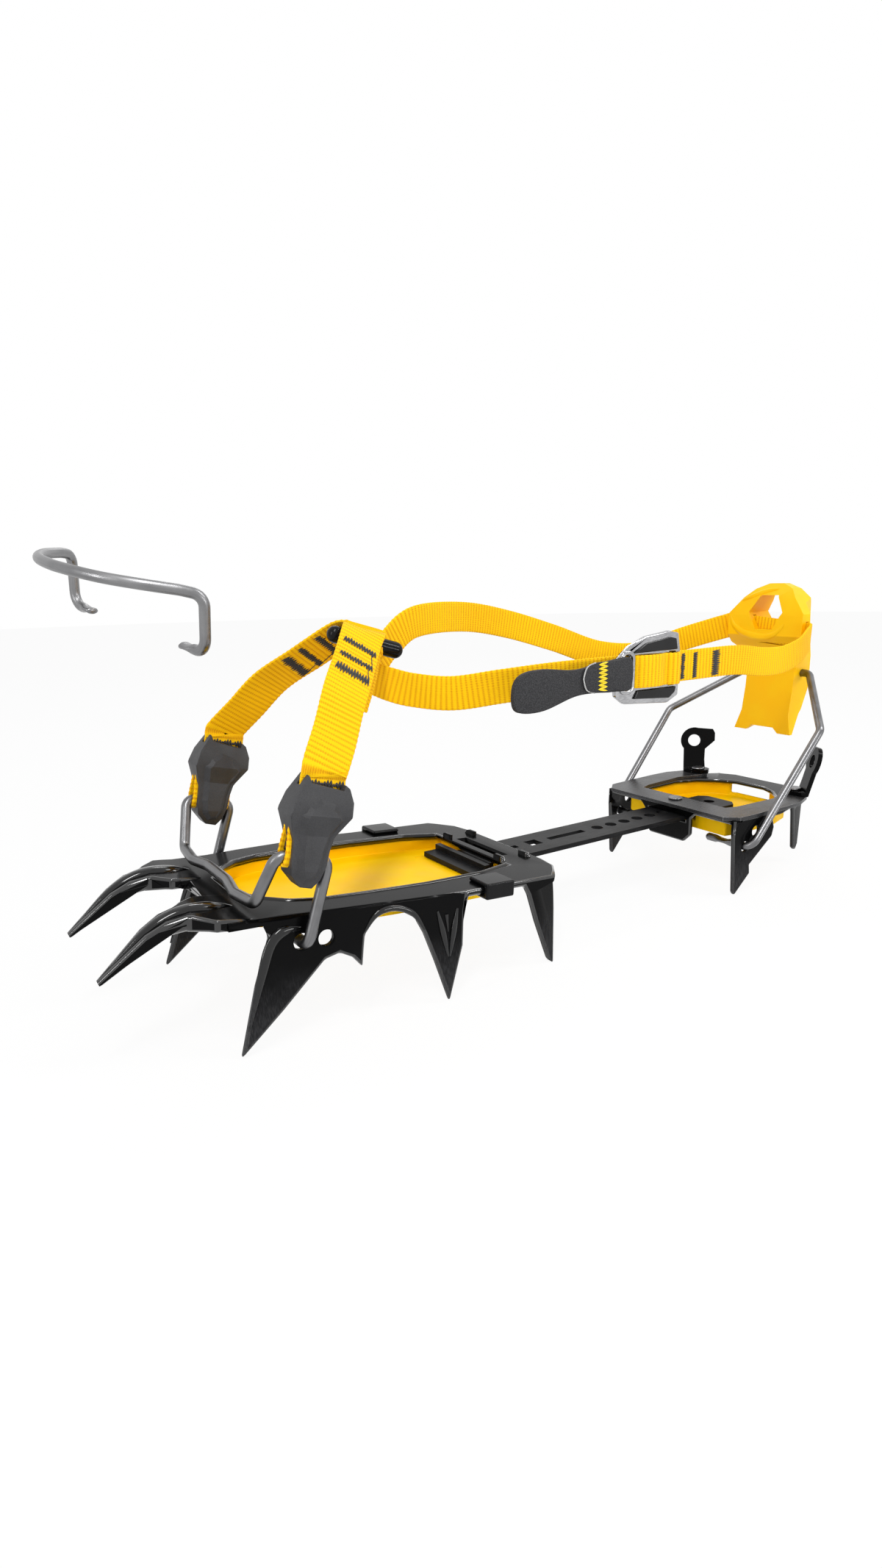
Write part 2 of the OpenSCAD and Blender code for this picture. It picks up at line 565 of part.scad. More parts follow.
// Front strap from the connector over the ring
strap_base = loop_mid + [-sin(loop_tilt), 0, cos(loop_tilt)] * 12 + loop_way * web_shift;
module front_strap() {
    over = ring_d / 2 + web_t / 2 + slide_gap;
    out = [-sin(loop_tilt), 0, cos(loop_tilt)];
    path = spline([strap_base, strap_base + out * 6, strap_base + out * 12, strap_base + out * 15,
        [105.5, 36, 94], [98, 28.5, 104], [88.5, 18, 112.5], [79, 7, ring_mid[2] + over * 0.75],
        [ring_mid[0] + 0.5, 0, ring_mid[2] + over]], 5);
    wide = [for (i = [0 : len(path) - 1])
        lerp(loop_way, [1, 0, 0.28], i / (len(path) - 1))];
    intersection() {
        ribbon(path, wide, front_web, web_t);
        translate([0, slide_gap / 2, 0]) cube([2 * loop_mid[0], front_w, 2 * ring_mid[2]]);
    }
}
module front_strap_left() {
    color(yellow) front_strap();
}
module front_strap_right() {
    color(yellow) mirror([0, 1, 0]) front_strap();
}
// Ankle strap: from under the ring round the near side, through the lever and back on the far side
near_y = heel_half + 0.6;
buckle_seat = near_y - 0.7;
tunnel_at = lever_pivot + [tunnel_x, 0, tunnel_z];
function in_tunnel(y) = tunnel_at + [0, y, -y * tan(tunnel_lean)];
ankle_path = [[70.5, 0, 105], [68, 5, 103.5], [62, 11, 101.5], [52, 21, 100.5], [38, 30, 102.5],
    [20, 35.5, 104], [-2, buckle_seat - 0.7, 104.5], [-25, buckle_seat, 104.5], [-50, buckle_seat, 104.5],
    [-75, near_y - 0.2, 104.6],
    [-96, near_y - 2.4, 102.4], [-113, 34, 101.9], [-130, 30.3, 104], [-141, 26.4, 107],
    [-148, 23.4, 109], in_tunnel(20.8), in_tunnel(13), in_tunnel(-13), in_tunnel(-20.8),
    [-148, -23.6, 112.6], [-140, -29, 110], [-127, -34, 106.5], [-104, -near_y, 100.5],
    [-76, -near_y - 1, 102.5], [-46, -near_y, 111.5], [-17, -36, 119], [12, -28, 123.5], [44, -14, 123.5],
    [58, -9.5, 117], [66, -6.5, 110], [70.5, -3.2, 105.5]];
module ankle_strap() {
    path = spline(ankle_path, 4);
    color(yellow) ribbon(path, [for (p = path) [0, 0, 1]], ankle_web, web_t);
}
// The strap's free end, folded back over the buckle's bar
keeper_gap = web_t / 2 + slide_gap;
module strap_keeper() {
    color(yellow)
    translate([-32, buckle_y + buckle_t + slide_gap, 104.5 - ankle_web / 2]) cube([16, web_t, ankle_web]);
}
// Buckle: a shield-shaped plate outside the strap with two slots and two inlays
buckle_y = buckle_seat + keeper_gap;
buckle_outline = [[-5, 101], [-6, 109], [-12, 114], [-20, 117], [-32, 118.5], [-37.5, 117.5], [-39, 110],
    [-38.5, 94], [-33, 91.5], [-10, 93], [-5.5, 96]];
module buckle_plate() {
    color(wire_steel)
    translate([0, buckle_y + buckle_t, 0]) rotate([90, 0, 0]) linear_extrude(buckle_t) difference() {
        polygon(buckle_outline);
        translate([-12, 104.5 - ankle_web / 2]) square([3, ankle_web]);
        translate([-36, 104.5 - ankle_web / 2]) square([3, ankle_web]);
    }
}
module buckle_inlays() {
    color(steel)
    translate([0, buckle_y + buckle_t + 0.8, 0]) rotate([90, 0, 0]) linear_extrude(0.8) {
        polygon([[-13, 111.2], [-20, 114.6], [-32, 116.3], [-35.5, 115.6], [-36.5, 111.5], [-16, 111.2]]);
        polygon([[-16, 97.6], [-36.5, 97.6], [-36, 95.5], [-33, 93.4], [-14, 94.6]]);
    }
}
// Pull tab: a paddle looped through the buckle's front slot
module pull_tab() {
    end = -10.5 + tab_len + 14;
    y0 = buckle_y + buckle_t + slide_gap;
    color(dark_rubber)
    translate([0, y0 + 2, 0]) rotate([90, 0, 0]) linear_extrude(2)
        polygon([[-10.5, 99], [-10.5, 110], [-2, 110], [8, 108.4], [16, 107.6], [30, 109], [end - 3, 107.6],
            [end, 104], [end, 97], [end - 4, 94.6], [30, 94.6], [16, 98.4], [8, 98.6], [-2, 98]]);
}
// Spare toe bail, shown apart from the frame as it is sold
toe_half = toe_bail_w / 2;
toe_drop = 18.7;
toe_reach = 6.2;
toe_bow = 21.2;
toe_end = 13;
toe_lift = 4.2;
toe_bow_line = spline([[toe_reach, toe_half - 4.2, 1.5], [toe_reach + 9, toe_half * 0.73, 2.7],
    [toe_reach + 16, toe_half / 2, 3.5], [toe_reach + 20, toe_half / 4, 4.1],
    [toe_reach + toe_bow, 0, toe_lift]], 2);
toe_leg = [[0, toe_half - toe_end, -toe_drop], [0, toe_half, -toe_drop], [0, toe_half, 0]];
toe_half_path = concat(rounded_path(concat(toe_leg, [toe_bow_line[0], toe_bow_line[1]]), 5, 4),
    [for (i = [2 : len(toe_bow_line) - 2]) toe_bow_line[i]]);
module toe_bail() {
    color(wire_steel)
    translate([138.6, -46.9, 142.8]) rotate([-10.4, 3.15, 15.2]) {
        wire(whole(toe_half_path), toe_r, [0, 0, 1]);
        both() translate([-0.9, toe_half - toe_end - 3, -toe_drop - 2.7]) cube([1.8, 6, 5.4]);
    }
}

front_frame();
front_antiball_plate();
antiball_clips();
link_bar();
heel_frame();
heel_antiball_plate();
heel_plate();
heel_rivets();
heel_post_left();
heel_post_right();
lock_leaf();
heel_bail();
heel_lever();
strap_bail();
connector_left();
connector_right();
front_strap_left();
front_strap_right();
strap_ring();
ankle_strap();
strap_keeper();
buckle_plate();
buckle_inlays();
pull_tab();
toe_bail();
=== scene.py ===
"""Looks for a twelve-point climbing crampon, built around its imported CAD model.

Shapes are modelled in millimetres in the part's own frame: X to the toe, Y to the buckle side,
Z up, with the point tips on the floor. Each piece is turned into metres when it is finished.
"""

import json
import logging
import math
from collections.abc import Callable, Iterable, Sequence
from dataclasses import dataclass, field
from enum import Enum
from functools import cache

import bmesh
import bpy
from mathutils import Matrix, Vector
from mathutils.bvhtree import BVHTree

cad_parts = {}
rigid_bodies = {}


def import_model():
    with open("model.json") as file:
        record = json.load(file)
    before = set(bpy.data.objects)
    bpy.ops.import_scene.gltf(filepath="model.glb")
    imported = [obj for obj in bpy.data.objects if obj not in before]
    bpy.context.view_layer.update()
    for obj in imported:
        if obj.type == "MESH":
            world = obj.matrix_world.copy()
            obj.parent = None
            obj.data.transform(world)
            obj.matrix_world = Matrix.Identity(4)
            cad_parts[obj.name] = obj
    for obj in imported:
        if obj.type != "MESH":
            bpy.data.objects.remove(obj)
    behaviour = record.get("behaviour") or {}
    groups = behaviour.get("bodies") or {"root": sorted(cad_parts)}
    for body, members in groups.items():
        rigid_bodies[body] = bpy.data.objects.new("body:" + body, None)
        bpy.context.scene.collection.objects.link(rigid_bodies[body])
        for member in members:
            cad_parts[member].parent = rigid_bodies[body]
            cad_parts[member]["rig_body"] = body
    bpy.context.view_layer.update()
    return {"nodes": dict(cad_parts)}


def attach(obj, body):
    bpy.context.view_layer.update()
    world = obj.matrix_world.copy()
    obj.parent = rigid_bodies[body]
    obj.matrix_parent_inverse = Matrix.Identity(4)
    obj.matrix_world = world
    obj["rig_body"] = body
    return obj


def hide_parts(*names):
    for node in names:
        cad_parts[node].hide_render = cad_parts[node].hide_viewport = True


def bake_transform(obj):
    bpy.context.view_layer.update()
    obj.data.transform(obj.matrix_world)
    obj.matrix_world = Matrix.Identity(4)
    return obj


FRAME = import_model()

LOG = logging.getLogger("crampon")
MM = 0.001

Colour = Point = tuple[float, float, float]
Flat = tuple[float, float]
Outline = tuple[Flat, ...]

X_AXIS, Y_AXIS, Z_AXIS = Vector((1.0, 0.0, 0.0)), Vector((0.0, 1.0, 0.0)), Vector((0.0, 0.0, 1.0))
WHITE: Colour = (1.0, 1.0, 1.0)


class Body(str, Enum):
    """The moving groups of the CAD model."""

    FRONT = "front"
    HEEL = "heel"
    LOCK = "heel_lock"
    HEEL_WIRE = "heel_wire"
    LEVER = "lever"
    HARNESS = "toe_harness"
    LEFT_CONNECTOR = "left_connector"
    RIGHT_CONNECTOR = "right_connector"
    ANKLE = "ankle"
    TAB = "tab"
    SPARE = "spare_toe_bail"


class Slot(str, Enum):
    """The record's material slots."""

    BLACK_STEEL = "black_steel"
    BAR_STEEL = "bar_steel"
    WIRE = "wire_steel"
    POLISHED = "polished_steel"
    PLASTIC = "yellow_plastic"
    WEBBING = "yellow_webbing"
    RUBBER = "dark_rubber"
    CLIP = "black_clip"
    INLAY = "black_inlay"


# The sign of Y on each side, with the side's name and its connector.
SIDES = {1: ("left", Body.LEFT_CONNECTOR), -1: ("right", Body.RIGHT_CONNECTOR)}

# The front wire's straight stretch that a connector turns on: its middle, and its rise to the toe.
STRETCH: Point = (119.6, 41.5, 60.0)
STRETCH_TILT = 14.0
STRETCH_WAY = Vector((math.cos(math.radians(STRETCH_TILT)), 0.0, math.sin(math.radians(STRETCH_TILT))))
STRETCH_OUT = Vector((-math.sin(math.radians(STRETCH_TILT)), 0.0, math.cos(math.radians(STRETCH_TILT))))


# Shaders


class Signal:
    """One socket of a node tree, on which Python's operators add Math nodes."""

    def __init__(self, nodes: "Nodes", socket: bpy.types.NodeSocket) -> None:
        """Wraps a socket.

        Args:
            nodes: The tree that the socket belongs to.
            socket: The output socket.
        """
        self.nodes = nodes
        self.socket = socket

    def math(self, operation: str, *values: "Signal | float") -> "Signal":
        """Adds one Math node.

        Args:
            operation: The node's operation, such as ADD.
            values: What goes into its sockets, in order.

        Returns:
            The node's result.
        """
        return self.nodes.add("ShaderNodeMath", {"operation": operation}, dict(enumerate(values)))

    def __add__(self, other: "Signal | float") -> "Signal":
        """Sum."""
        return self.math("ADD", self, other)

    def __rsub__(self, other: float) -> "Signal":
        """Difference from a number."""
        return self.math("SUBTRACT", other, self)

    def __mul__(self, other: "Signal | float") -> "Signal":
        """Product."""
        return self.math("MULTIPLY", self, other)

    def larger(self, other: "Signal") -> "Signal":
        """The larger of two values."""
        return self.math("MAXIMUM", self, other)

    def wave(self, turn: float) -> "Signal":
        """A sine wave between 0 and 1, that turns by this much for each unit of the value."""
        return self.math("SINE", self * turn) * 0.5 + 0.5

    def ramp(self, low: float, high: float, start: float = 0.0, end: float = 1.0) -> "Signal":
        """Maps a stretch of values smoothly onto another.

        Args:
            low: Value that becomes start.
            high: Value that becomes end.
            start: Result at low and below.
            end: Result at high and above.

        Returns:
            The mapped value.
        """
        settings = {"interpolation_type": "SMOOTHSTEP"}
        values = {"Value": self, "From Min": low, "From Max": high, "To Min": start, "To Max": end}
        return self.nodes.add("ShaderNodeMapRange", settings, values)


class Nodes:
    """A node tree that is built up from nothing."""

    def __init__(self, tree: bpy.types.NodeTree) -> None:
        """Empties the tree.

        Args:
            tree: The tree.
        """
        self.tree = tree
        self.tree.nodes.clear()

    def plug(self, socket: bpy.types.NodeSocket, value: object) -> None:
        """Links a signal to a socket, or sets the socket's own value.

        Args:
            socket: The input socket.
            value: A signal, a number, a vector, or a colour without its alpha.
        """
        if isinstance(value, Signal):
            self.tree.links.new(value.socket, socket)
        else:
            socket.default_value = (*value, 1.0) if socket.type == "RGBA" else value

    def add(
        self, kind: str, settings: dict[str, object], values: dict[int | str, object], output: int | str = 0
    ) -> Signal:
        """Adds any node.

        Args:
            kind: The node's type.
            settings: Properties that are set before its sockets.
            values: Values or signals for its input sockets.
            output: The output socket to hand back.

        Returns:
            That output as a signal.
        """
        node = self.tree.nodes.new(kind)
        for key, value in settings.items():
            setattr(node, key, value)
        for key, value in values.items():
            self.plug(node.inputs[key], value)
        return Signal(self, node.outputs[output])

    def seen(self) -> Signal:
        """Tells which rays show the background.

        Returns:
            1 for rays from the camera, or by way of metal or glass.
        """
        path = self.tree.nodes.new("ShaderNodeLightPath")
        names = ("Is Camera Ray", "Is Glossy Ray", "Is Transmission Ray")
        camera, glossy, glass = (Signal(self, path.outputs[name]) for name in names)
        return camera.larger(glossy.larger(glass))


class Shader(Nodes):
    """A material's node tree with one Principled surface."""

    def __init__(self, name: str) -> None:
        """Makes an empty material.

        Args:
            name: The material's name.
        """
        self.material = bpy.data.materials.new(name)
        self.material.use_nodes = True
        super().__init__(self.material.node_tree)
        self.surface = self.tree.nodes.new("ShaderNodeBsdfPrincipled")
        self.output = self.tree.nodes.new("ShaderNodeOutputMaterial")
        self.tree.links.new(self.surface.outputs["BSDF"], self.output.inputs["Surface"])

    def mix(self, factor: Signal, first: Colour, second: Colour) -> Signal:
        """Mixes two colours.

        Args:
            factor: Share of the second colour.
            first: Colour where the factor is 0.
            second: Colour where the factor is 1.

        Returns:
            The mixed colour.
        """
        return self.add("ShaderNodeMix", {"data_type": "RGBA"}, {0: factor, 6: first, 7: second}, 2)

    def spot(self) -> Signal:
        """Object coordinates."""
        return self.add("ShaderNodeTexCoord", {}, {}, "Object")

    def place(self, stretch: Point = (1.0, 1.0, 1.0)) -> Signal:
        """Object coordinates, scaled along each axis."""
        values = {"Vector": self.spot(), "Scale": stretch}
        return self.add("ShaderNodeMapping", {"vector_type": "POINT"}, values)

    def noise(self, grain_mm: float, detail: float = 3.0, stretch: Point = (1.0, 1.0, 1.0)) -> Signal:
        """Noise with spots of about one size.

        Args:
            grain_mm: Size of a spot in millimetres.
            detail: Octaves of finer noise.
            stretch: Scale along X, Y and Z.

        Returns:
            A value around 0.5.
        """
        values = {"Vector": self.place(stretch), "Scale": 1.0 / (grain_mm * MM), "Detail": detail}
        return self.add("ShaderNodeTexNoise", {}, values, "Fac")

    def height(self) -> Signal:
        """Height above the floor in millimetres."""
        return self.add("ShaderNodeSeparateXYZ", {}, {0: self.spot()}, "Z") * (1.0 / MM)

    def swept(self) -> tuple[Signal, Signal]:
        """Finds where a point lies on a swept piece.

        Returns:
            How far along and across the piece, in millimetres.
        """
        along, across = (
            self.add("ShaderNodeAttribute", {"attribute_name": name}, {}, "Fac")
            for name in ("along", "across")
        )
        return along, across

    def bump(self, height: Signal, depth_mm: float, strength: float) -> None:
        """Feeds the surface's normal from a relief.

        Args:
            height: The relief, 0 to 1.
            depth_mm: Its depth in millimetres.
            strength: The bump's strength.
        """
        values = {"Height": height, "Distance": depth_mm * MM, "Strength": strength}
        self.plug(self.surface.inputs["Normal"], self.add("ShaderNodeBump", {}, values, "Normal"))

    def dress(self, **values: object) -> None:
        """Sets the surface's sockets by name, with _ for a space."""
        for key, value in values.items():
            self.plug(self.surface.inputs[key.replace("_", " ")], value)


@dataclass(frozen=True)
class Finish:
    """A finish that a piece can have."""

    name: str
    colour: Colour
    roughness: float

    def build(self, shader: Shader) -> None:
        """Builds the finish.

        Args:
            shader: The empty shader that it fills.
        """
        raise NotImplementedError

    def rough(self, blend: Signal, less: float, more: float) -> Signal:
        """Spreads the roughness from a little less to a little more, as a blend rises."""
        return blend.ramp(0.3, 0.7, self.roughness - less, self.roughness + more)


@dataclass(frozen=True)
class BlackEnamel(Finish):
    """Glossy black coating on pressed steel, with duller, greyer point tips."""

    worn: Colour = (0.034, 0.034, 0.036)
    tip_mm: Flat = (10.0, 32.0)
    cloud_mm: float = 10.0
    gloss: float = 0.05
    coat: float = 0.05

    def build(self, shader: Shader) -> None:
        """Builds the finish.

        Args:
            shader: The empty shader that it fills.
        """
        speck = shader.noise(0.5, 4.0)
        cloud = shader.noise(9.0, 3.0)
        scratch = shader.noise(0.35, 2.0, (1.0, 1.0, 0.12))
        tip = (shader.height() + cloud * self.cloud_mm).ramp(*self.tip_mm, 1.0, 0.0)
        wear = tip * scratch.ramp(0.35, 0.7, 0.45, 1.0)
        shader.bump(speck * 0.3 + cloud * 0.7, 0.02, 0.4)
        shader.dress(
            Base_Color=shader.mix(wear, self.colour, self.worn),
            Roughness=wear * 0.24 + speck.ramp(0.3, 0.8, self.roughness - 0.04, self.roughness + 0.06),
            Specular_IOR_Level=self.gloss,
            Coat_Roughness=0.07,
            Coat_Weight=(1.0 - tip) * self.coat,
        )


@dataclass(frozen=True)
class SatinSteel(Finish):
    """Darkened or bare steel with fine lengthwise streaks."""

    bright: Colour = (0.3, 0.3, 0.31)
    metal: float = 1.0
    gloss: float = 0.5
    grain: Point = (0.08, 1.0, 1.0)

    def build(self, shader: Shader) -> None:
        """Builds the finish.

        Args:
            shader: The empty shader that it fills.
        """
        streak = shader.noise(0.45, 3.0, self.grain)
        cloud = shader.noise(12.0, 2.0)
        blend = streak * 0.6 + cloud * 0.4
        shader.bump(streak, 0.02, 0.45)
        shader.dress(
            Base_Color=shader.mix(blend.ramp(0.36, 0.68), self.colour, self.bright),
            Roughness=self.rough(blend, 0.07, 0.09),
            Metallic=self.metal,
            Specular_IOR_Level=self.gloss,
        )


@dataclass(frozen=True)
class DrawnWire(Finish):
    """Bare spring wire: satin, with faint draw marks along it and small dull patches."""

    dull: Colour = (0.2, 0.2, 0.205)

    def build(self, shader: Shader) -> None:
        """Builds the finish.

        Args:
            shader: The empty shader that it fills.
        """
        along, across = shader.swept()
        spot = shader.add("ShaderNodeCombineXYZ", {}, {0: along * 0.06, 1: across * 2.2, 2: 0.0})
        mark = shader.add("ShaderNodeTexNoise", {}, {"Vector": spot, "Scale": 1.0, "Detail": 4.0}, "Fac")
        patch = shader.noise(6.0, 4.0)
        shader.bump(mark, 0.008, 0.3)
        shader.dress(
            Base_Color=shader.mix((mark * 0.5 + patch * 0.5).ramp(0.3, 0.72), self.dull, self.colour),
            Roughness=self.rough(patch, 0.04, 0.06),
            Metallic=1.0,
        )


@dataclass(frozen=True)
class MouldedPlastic(Finish):
    """Coloured plastic with a soft sheen, slight flow clouds and fine moulding grain."""

    deep: Colour = (0.9, 0.42, 0.0)
    grain_mm: float = 0.4
    relief_mm: float = 0.02
    gloss: float = 0.4
    glow: float = 0.0

    def build(self, shader: Shader) -> None:
        """Builds the finish.

        Args:
            shader: The empty shader that it fills.
        """
        cloud = shader.noise(14.0, 2.0)
        grain = shader.noise(self.grain_mm, 2.0)
        shader.bump(grain * 0.7 + cloud * 0.3, self.relief_mm, 0.6)
        shader.dress(
            Base_Color=shader.mix(cloud.ramp(0.35, 0.7), self.deep, self.colour),
            Roughness=self.rough(cloud * 0.5 + grain * 0.5, 0.06, 0.08),
            Specular_IOR_Level=self.gloss,
            Subsurface_Weight=self.glow,
            Subsurface_Radius=(0.004, 0.002, 0.0005),
            Subsurface_Scale=0.6,
        )


@dataclass(frozen=True)
class RibbedWebbing(Finish):
    """Woven webbing with cross ribs and fine lengthwise threads, with painted shade in the valleys between
    them.
    """

    # Colour of the painted shade in the valleys between ribs and threads.
    shade: Colour = (0.62, 0.25, 0.0)
    rib_mm: float = 1.8
    thread_mm: float = 0.72

    def build(self, shader: Shader) -> None:
        """Builds the finish.

        Args:
            shader: The empty shader that it fills.
        """
        along, across = shader.swept()
        rib = along.wave(2.0 * math.pi / self.rib_mm)
        yarn = across.wave(2.0 * math.pi / self.thread_mm)
        twill = (along * 1.9 + across * 3.4).wave(math.pi / self.thread_mm)
        fuzz = shader.noise(0.22, 3.0)
        relief = rib * 0.45 + yarn * 0.2 + twill * 0.2 + fuzz * 0.15
        shader.bump(relief, 0.16, 0.75)
        # The colour follows the relief: it falls to the shade colour in the valleys between ribs and threads
        # as painted shade, with a little random tone from the fuzz.
        shader.dress(
            Base_Color=shader.mix(relief.ramp(0.16, 0.56), self.shade, self.colour),
            Roughness=self.roughness,
            Sheen_Weight=0.04,
            Sheen_Roughness=0.4,
            Specular_IOR_Level=0.15,
        )


@dataclass(frozen=True)
class SoftRubber(Finish):
    """Dark moulded rubber with a dry, slightly dusty face."""

    dust: Colour = (0.085, 0.085, 0.088)
    grain_mm: float = 0.3
    relief_mm: float = 0.04

    def build(self, shader: Shader) -> None:
        """Builds the finish.

        Args:
            shader: The empty shader that it fills.
        """
        grain = shader.noise(self.grain_mm, 3.0)
        cloud = shader.noise(7.0, 3.0)
        shader.bump(grain, self.relief_mm, 0.6)
        shader.dress(
            Base_Color=shader.mix((grain * 0.5 + cloud * 0.5).ramp(0.35, 0.68), self.colour, self.dust),
            Roughness=self.rough(cloud, 0.05, 0.1),
            Specular_IOR_Level=0.35,
        )


@dataclass(frozen=True)
class CoarseCloth(Finish):
    """Dark coated cloth with a pebbled weave."""

    light: Colour = (0.1, 0.1, 0.105)
    cell_mm: float = 0.42

    def build(self, shader: Shader) -> None:
        """Builds the finish.

        Args:
            shader: The empty shader that it fills.
        """
        values = {"Vector": shader.place(), "Scale": 1.0 / (self.cell_mm * MM)}
        cells = shader.add("ShaderNodeTexVoronoi", {}, values)
        fleck = shader.noise(0.5, 3.0)
        relief = (1.0 - cells) * 0.7 + fleck * 0.3
        shader.bump(relief, 0.12, 0.8)
        shader.dress(
            Base_Color=shader.mix(relief.ramp(0.35, 0.85), self.colour, self.light),
            Roughness=self.roughness,
            Specular_IOR_Level=0.25,
        )


@dataclass(frozen=True)
class Thread(Finish):
    """Twisted sewing thread."""

    pale: Colour = (0.05, 0.05, 0.055)

    def build(self, shader: Shader) -> None:
        """Builds the finish.

        Args:
            shader: The empty shader that it fills.
        """
        twist = shader.noise(0.25, 2.0)
        shader.bump(twist, 0.05, 0.6)
        shader.dress(
            Base_Color=shader.mix(twist.ramp(0.35, 0.65), self.colour, self.pale), Roughness=self.roughness
        )


ENAMEL = BlackEnamel("black_enamel", (0.0022, 0.0022, 0.0024), 0.2)
ENAMEL_EDGE = BlackEnamel("black_enamel_edge", (0.0028, 0.0028, 0.0031), 0.14, gloss=0.4, coat=1.0)
ENAMEL_RIB = BlackEnamel("black_enamel_rib", (0.0022, 0.0022, 0.0024), 0.14, gloss=0.2, coat=0.6)
BAR = SatinSteel(
    "dark_bar_steel", (0.006, 0.006, 0.0065), 0.34, bright=(0.016, 0.016, 0.017), metal=0.0, gloss=0.09
)
PLATE = SatinSteel(
    "dark_plate_steel", (0.022, 0.022, 0.024), 0.3, bright=(0.05, 0.05, 0.052), metal=0.35, gloss=0.4
)
RIVET = SatinSteel("rivet_steel", (0.14, 0.14, 0.145), 0.3, grain=(1.0, 1.0, 1.0))
BUCKLE = SatinSteel(
    "polished_steel", (0.36, 0.36, 0.37), 0.12, bright=(0.5, 0.5, 0.51), grain=(0.3, 1.0, 1.0)
)
WIRE = DrawnWire("spring_wire", (0.22, 0.22, 0.225), 0.32, dull=(0.15, 0.15, 0.155))
BRIGHT_WIRE = DrawnWire("bright_wire", (0.27, 0.27, 0.275), 0.34)
LEVER = MouldedPlastic(
    "lever_plastic", (1.0, 0.57, 0.002), 0.34, deep=(1.0, 0.53, 0.001), relief_mm=0.01, gloss=0.16, glow=0.05
)
TRAY = MouldedPlastic(
    "tray_plastic", (1.0, 0.62, 0.001), 0.36, deep=(1.0, 0.58, 0.001), grain_mm=6.0, relief_mm=0.004,
    gloss=0.08,
)
CLIP = MouldedPlastic("clip_rubber", (0.007, 0.007, 0.0075), 0.17, deep=(0.004, 0.004, 0.0045), gloss=0.14)
INLAY = MouldedPlastic("inlay_plastic", (0.008, 0.008, 0.0085), 0.13, deep=(0.005, 0.005, 0.0055), gloss=0.3)
WEB = RibbedWebbing("yellow_webbing", (1.0, 0.58, 0.001), 0.72, shade=(0.72, 0.3, 0.0))
CONNECTOR = SoftRubber("connector_rubber", (0.026, 0.026, 0.028), 0.46, dust=(0.044, 0.044, 0.047))
TAB = CoarseCloth("tab_cloth", (0.022, 0.022, 0.024), 0.72, light=(0.055, 0.055, 0.058))
EDGE_THREAD = Thread("edge_thread", (0.3, 0.3, 0.3), 0.6, pale=(0.55, 0.55, 0.54))
BLACK_THREAD = Thread("black_thread", (0.012, 0.011, 0.011), 0.7)
YELLOW_THREAD = Thread("yellow_thread", (0.9, 0.72, 0.01), 0.6, pale=(0.8, 0.55, 0.01))


@cache
def material_of(finish: Finish) -> bpy.types.Material:
    """Makes a finish's material at its first use, and hands out the same one later.

    Args:
        finish: The finish.

    Returns:
        Its material.
    """
    shader = Shader(finish.name)
    finish.build(shader)
    return shader.material


# Paths, in millimetres


def turned(x: float, y: float, z: float) -> Matrix:
    """Rotation by angles in degrees about X, then Y, then Z.

    Args:
        x: Angle about X.
        y: Angle about Y.
        z: Angle about Z.

    Returns:
        The rotation.
    """
    result = Matrix.Identity(4)
    for angle, axis in ((z, "Z"), (y, "Y"), (x, "X")):
        result = result @ Matrix.Rotation(math.radians(angle), 4, axis)
    return result


def moved(x: float, y: float, z: float) -> Matrix:
    """Shift by x, y and z."""
    return Matrix.Translation((x, y, z))


def placed(x: Vector, y: Vector, z: Vector, spot: Vector) -> Matrix:
    """A place with given axes.

    Args:
        x: Its own X.
        y: Its own Y.
        z: Its own Z.
        spot: Its origin.

    Returns:
        The place's matrix.
    """
    place = Matrix((x, y, z)).transposed().to_4x4()
    place.translation = spot
    return place


def both_sides(points: Sequence[Point]) -> list[Point]:
    """A line from one side to the mid plane, and on along its reflection."""
    return [*points, *((x, -y, z) for x, y, z in reversed(points))]


def rounded(points: Sequence[Point], radius: float, steps: int) -> list[Vector]:
    """Turns each inner corner of a bent line into an arc.

    Args:
        points: The line's corners.
        radius: Radius of the arcs.
        steps: Steps in each arc.

    Returns:
        The points of the rounded line.
    """
    most = 0.49  # share of a stretch that one arc may take
    corners = [Vector(p) for p in points]
    line = [corners[0]]
    for before, here, after in zip(corners, corners[1:], corners[2:]):
        back, ahead = (before - here).normalized(), (after - here).normalized()
        half = back.angle(ahead) / 2.0
        reach = min(radius / math.tan(half), (before - here).length * most, (after - here).length * most)
        bend = reach * math.tan(half)
        middle = here + (back + ahead).normalized() * (bend / math.sin(half))
        first, last = here + back * reach - middle, here + ahead * reach - middle
        line += [middle + first.slerp(last, k / steps).normalized() * bend for k in range(steps + 1)]
    return line + [corners[-1]]


def smooth(points: Sequence[Sequence[float]], steps: int = 12) -> list[Vector]:
    """A smooth curve through points.

    Args:
        points: The points.
        steps: Steps between two neighbours.

    Returns:
        The curve's points.
    """
    knots = [Vector(p) for p in points]
    last = len(knots) - 1
    line = []
    for i in range(last):
        a, b, c, d = knots[max(i - 1, 0)], knots[i], knots[i + 1], knots[min(i + 2, last)]
        for k in (n / steps for n in range(steps)):
            square = (2 * a - 5 * b + 4 * c - d) * k**2
            cube = (3 * b - a - 3 * c + d) * k**3
            line.append(0.5 * (2 * b + (c - a) * k + square + cube))
    return line + [knots[-1]]


def closed(points: Outline, steps: int = 5) -> list[Flat]:
    """A smooth closed outline through points.

    Args:
        points: The points, in order.
        steps: Steps between two neighbours.

    Returns:
        The outline's points.
    """
    ring = [points[-1], *points, points[0], points[1]]
    line = smooth([(x, y, 0.0) for x, y in ring], steps)
    return [(p.x, p.y) for p in line[steps : steps * (len(points) + 1)]]


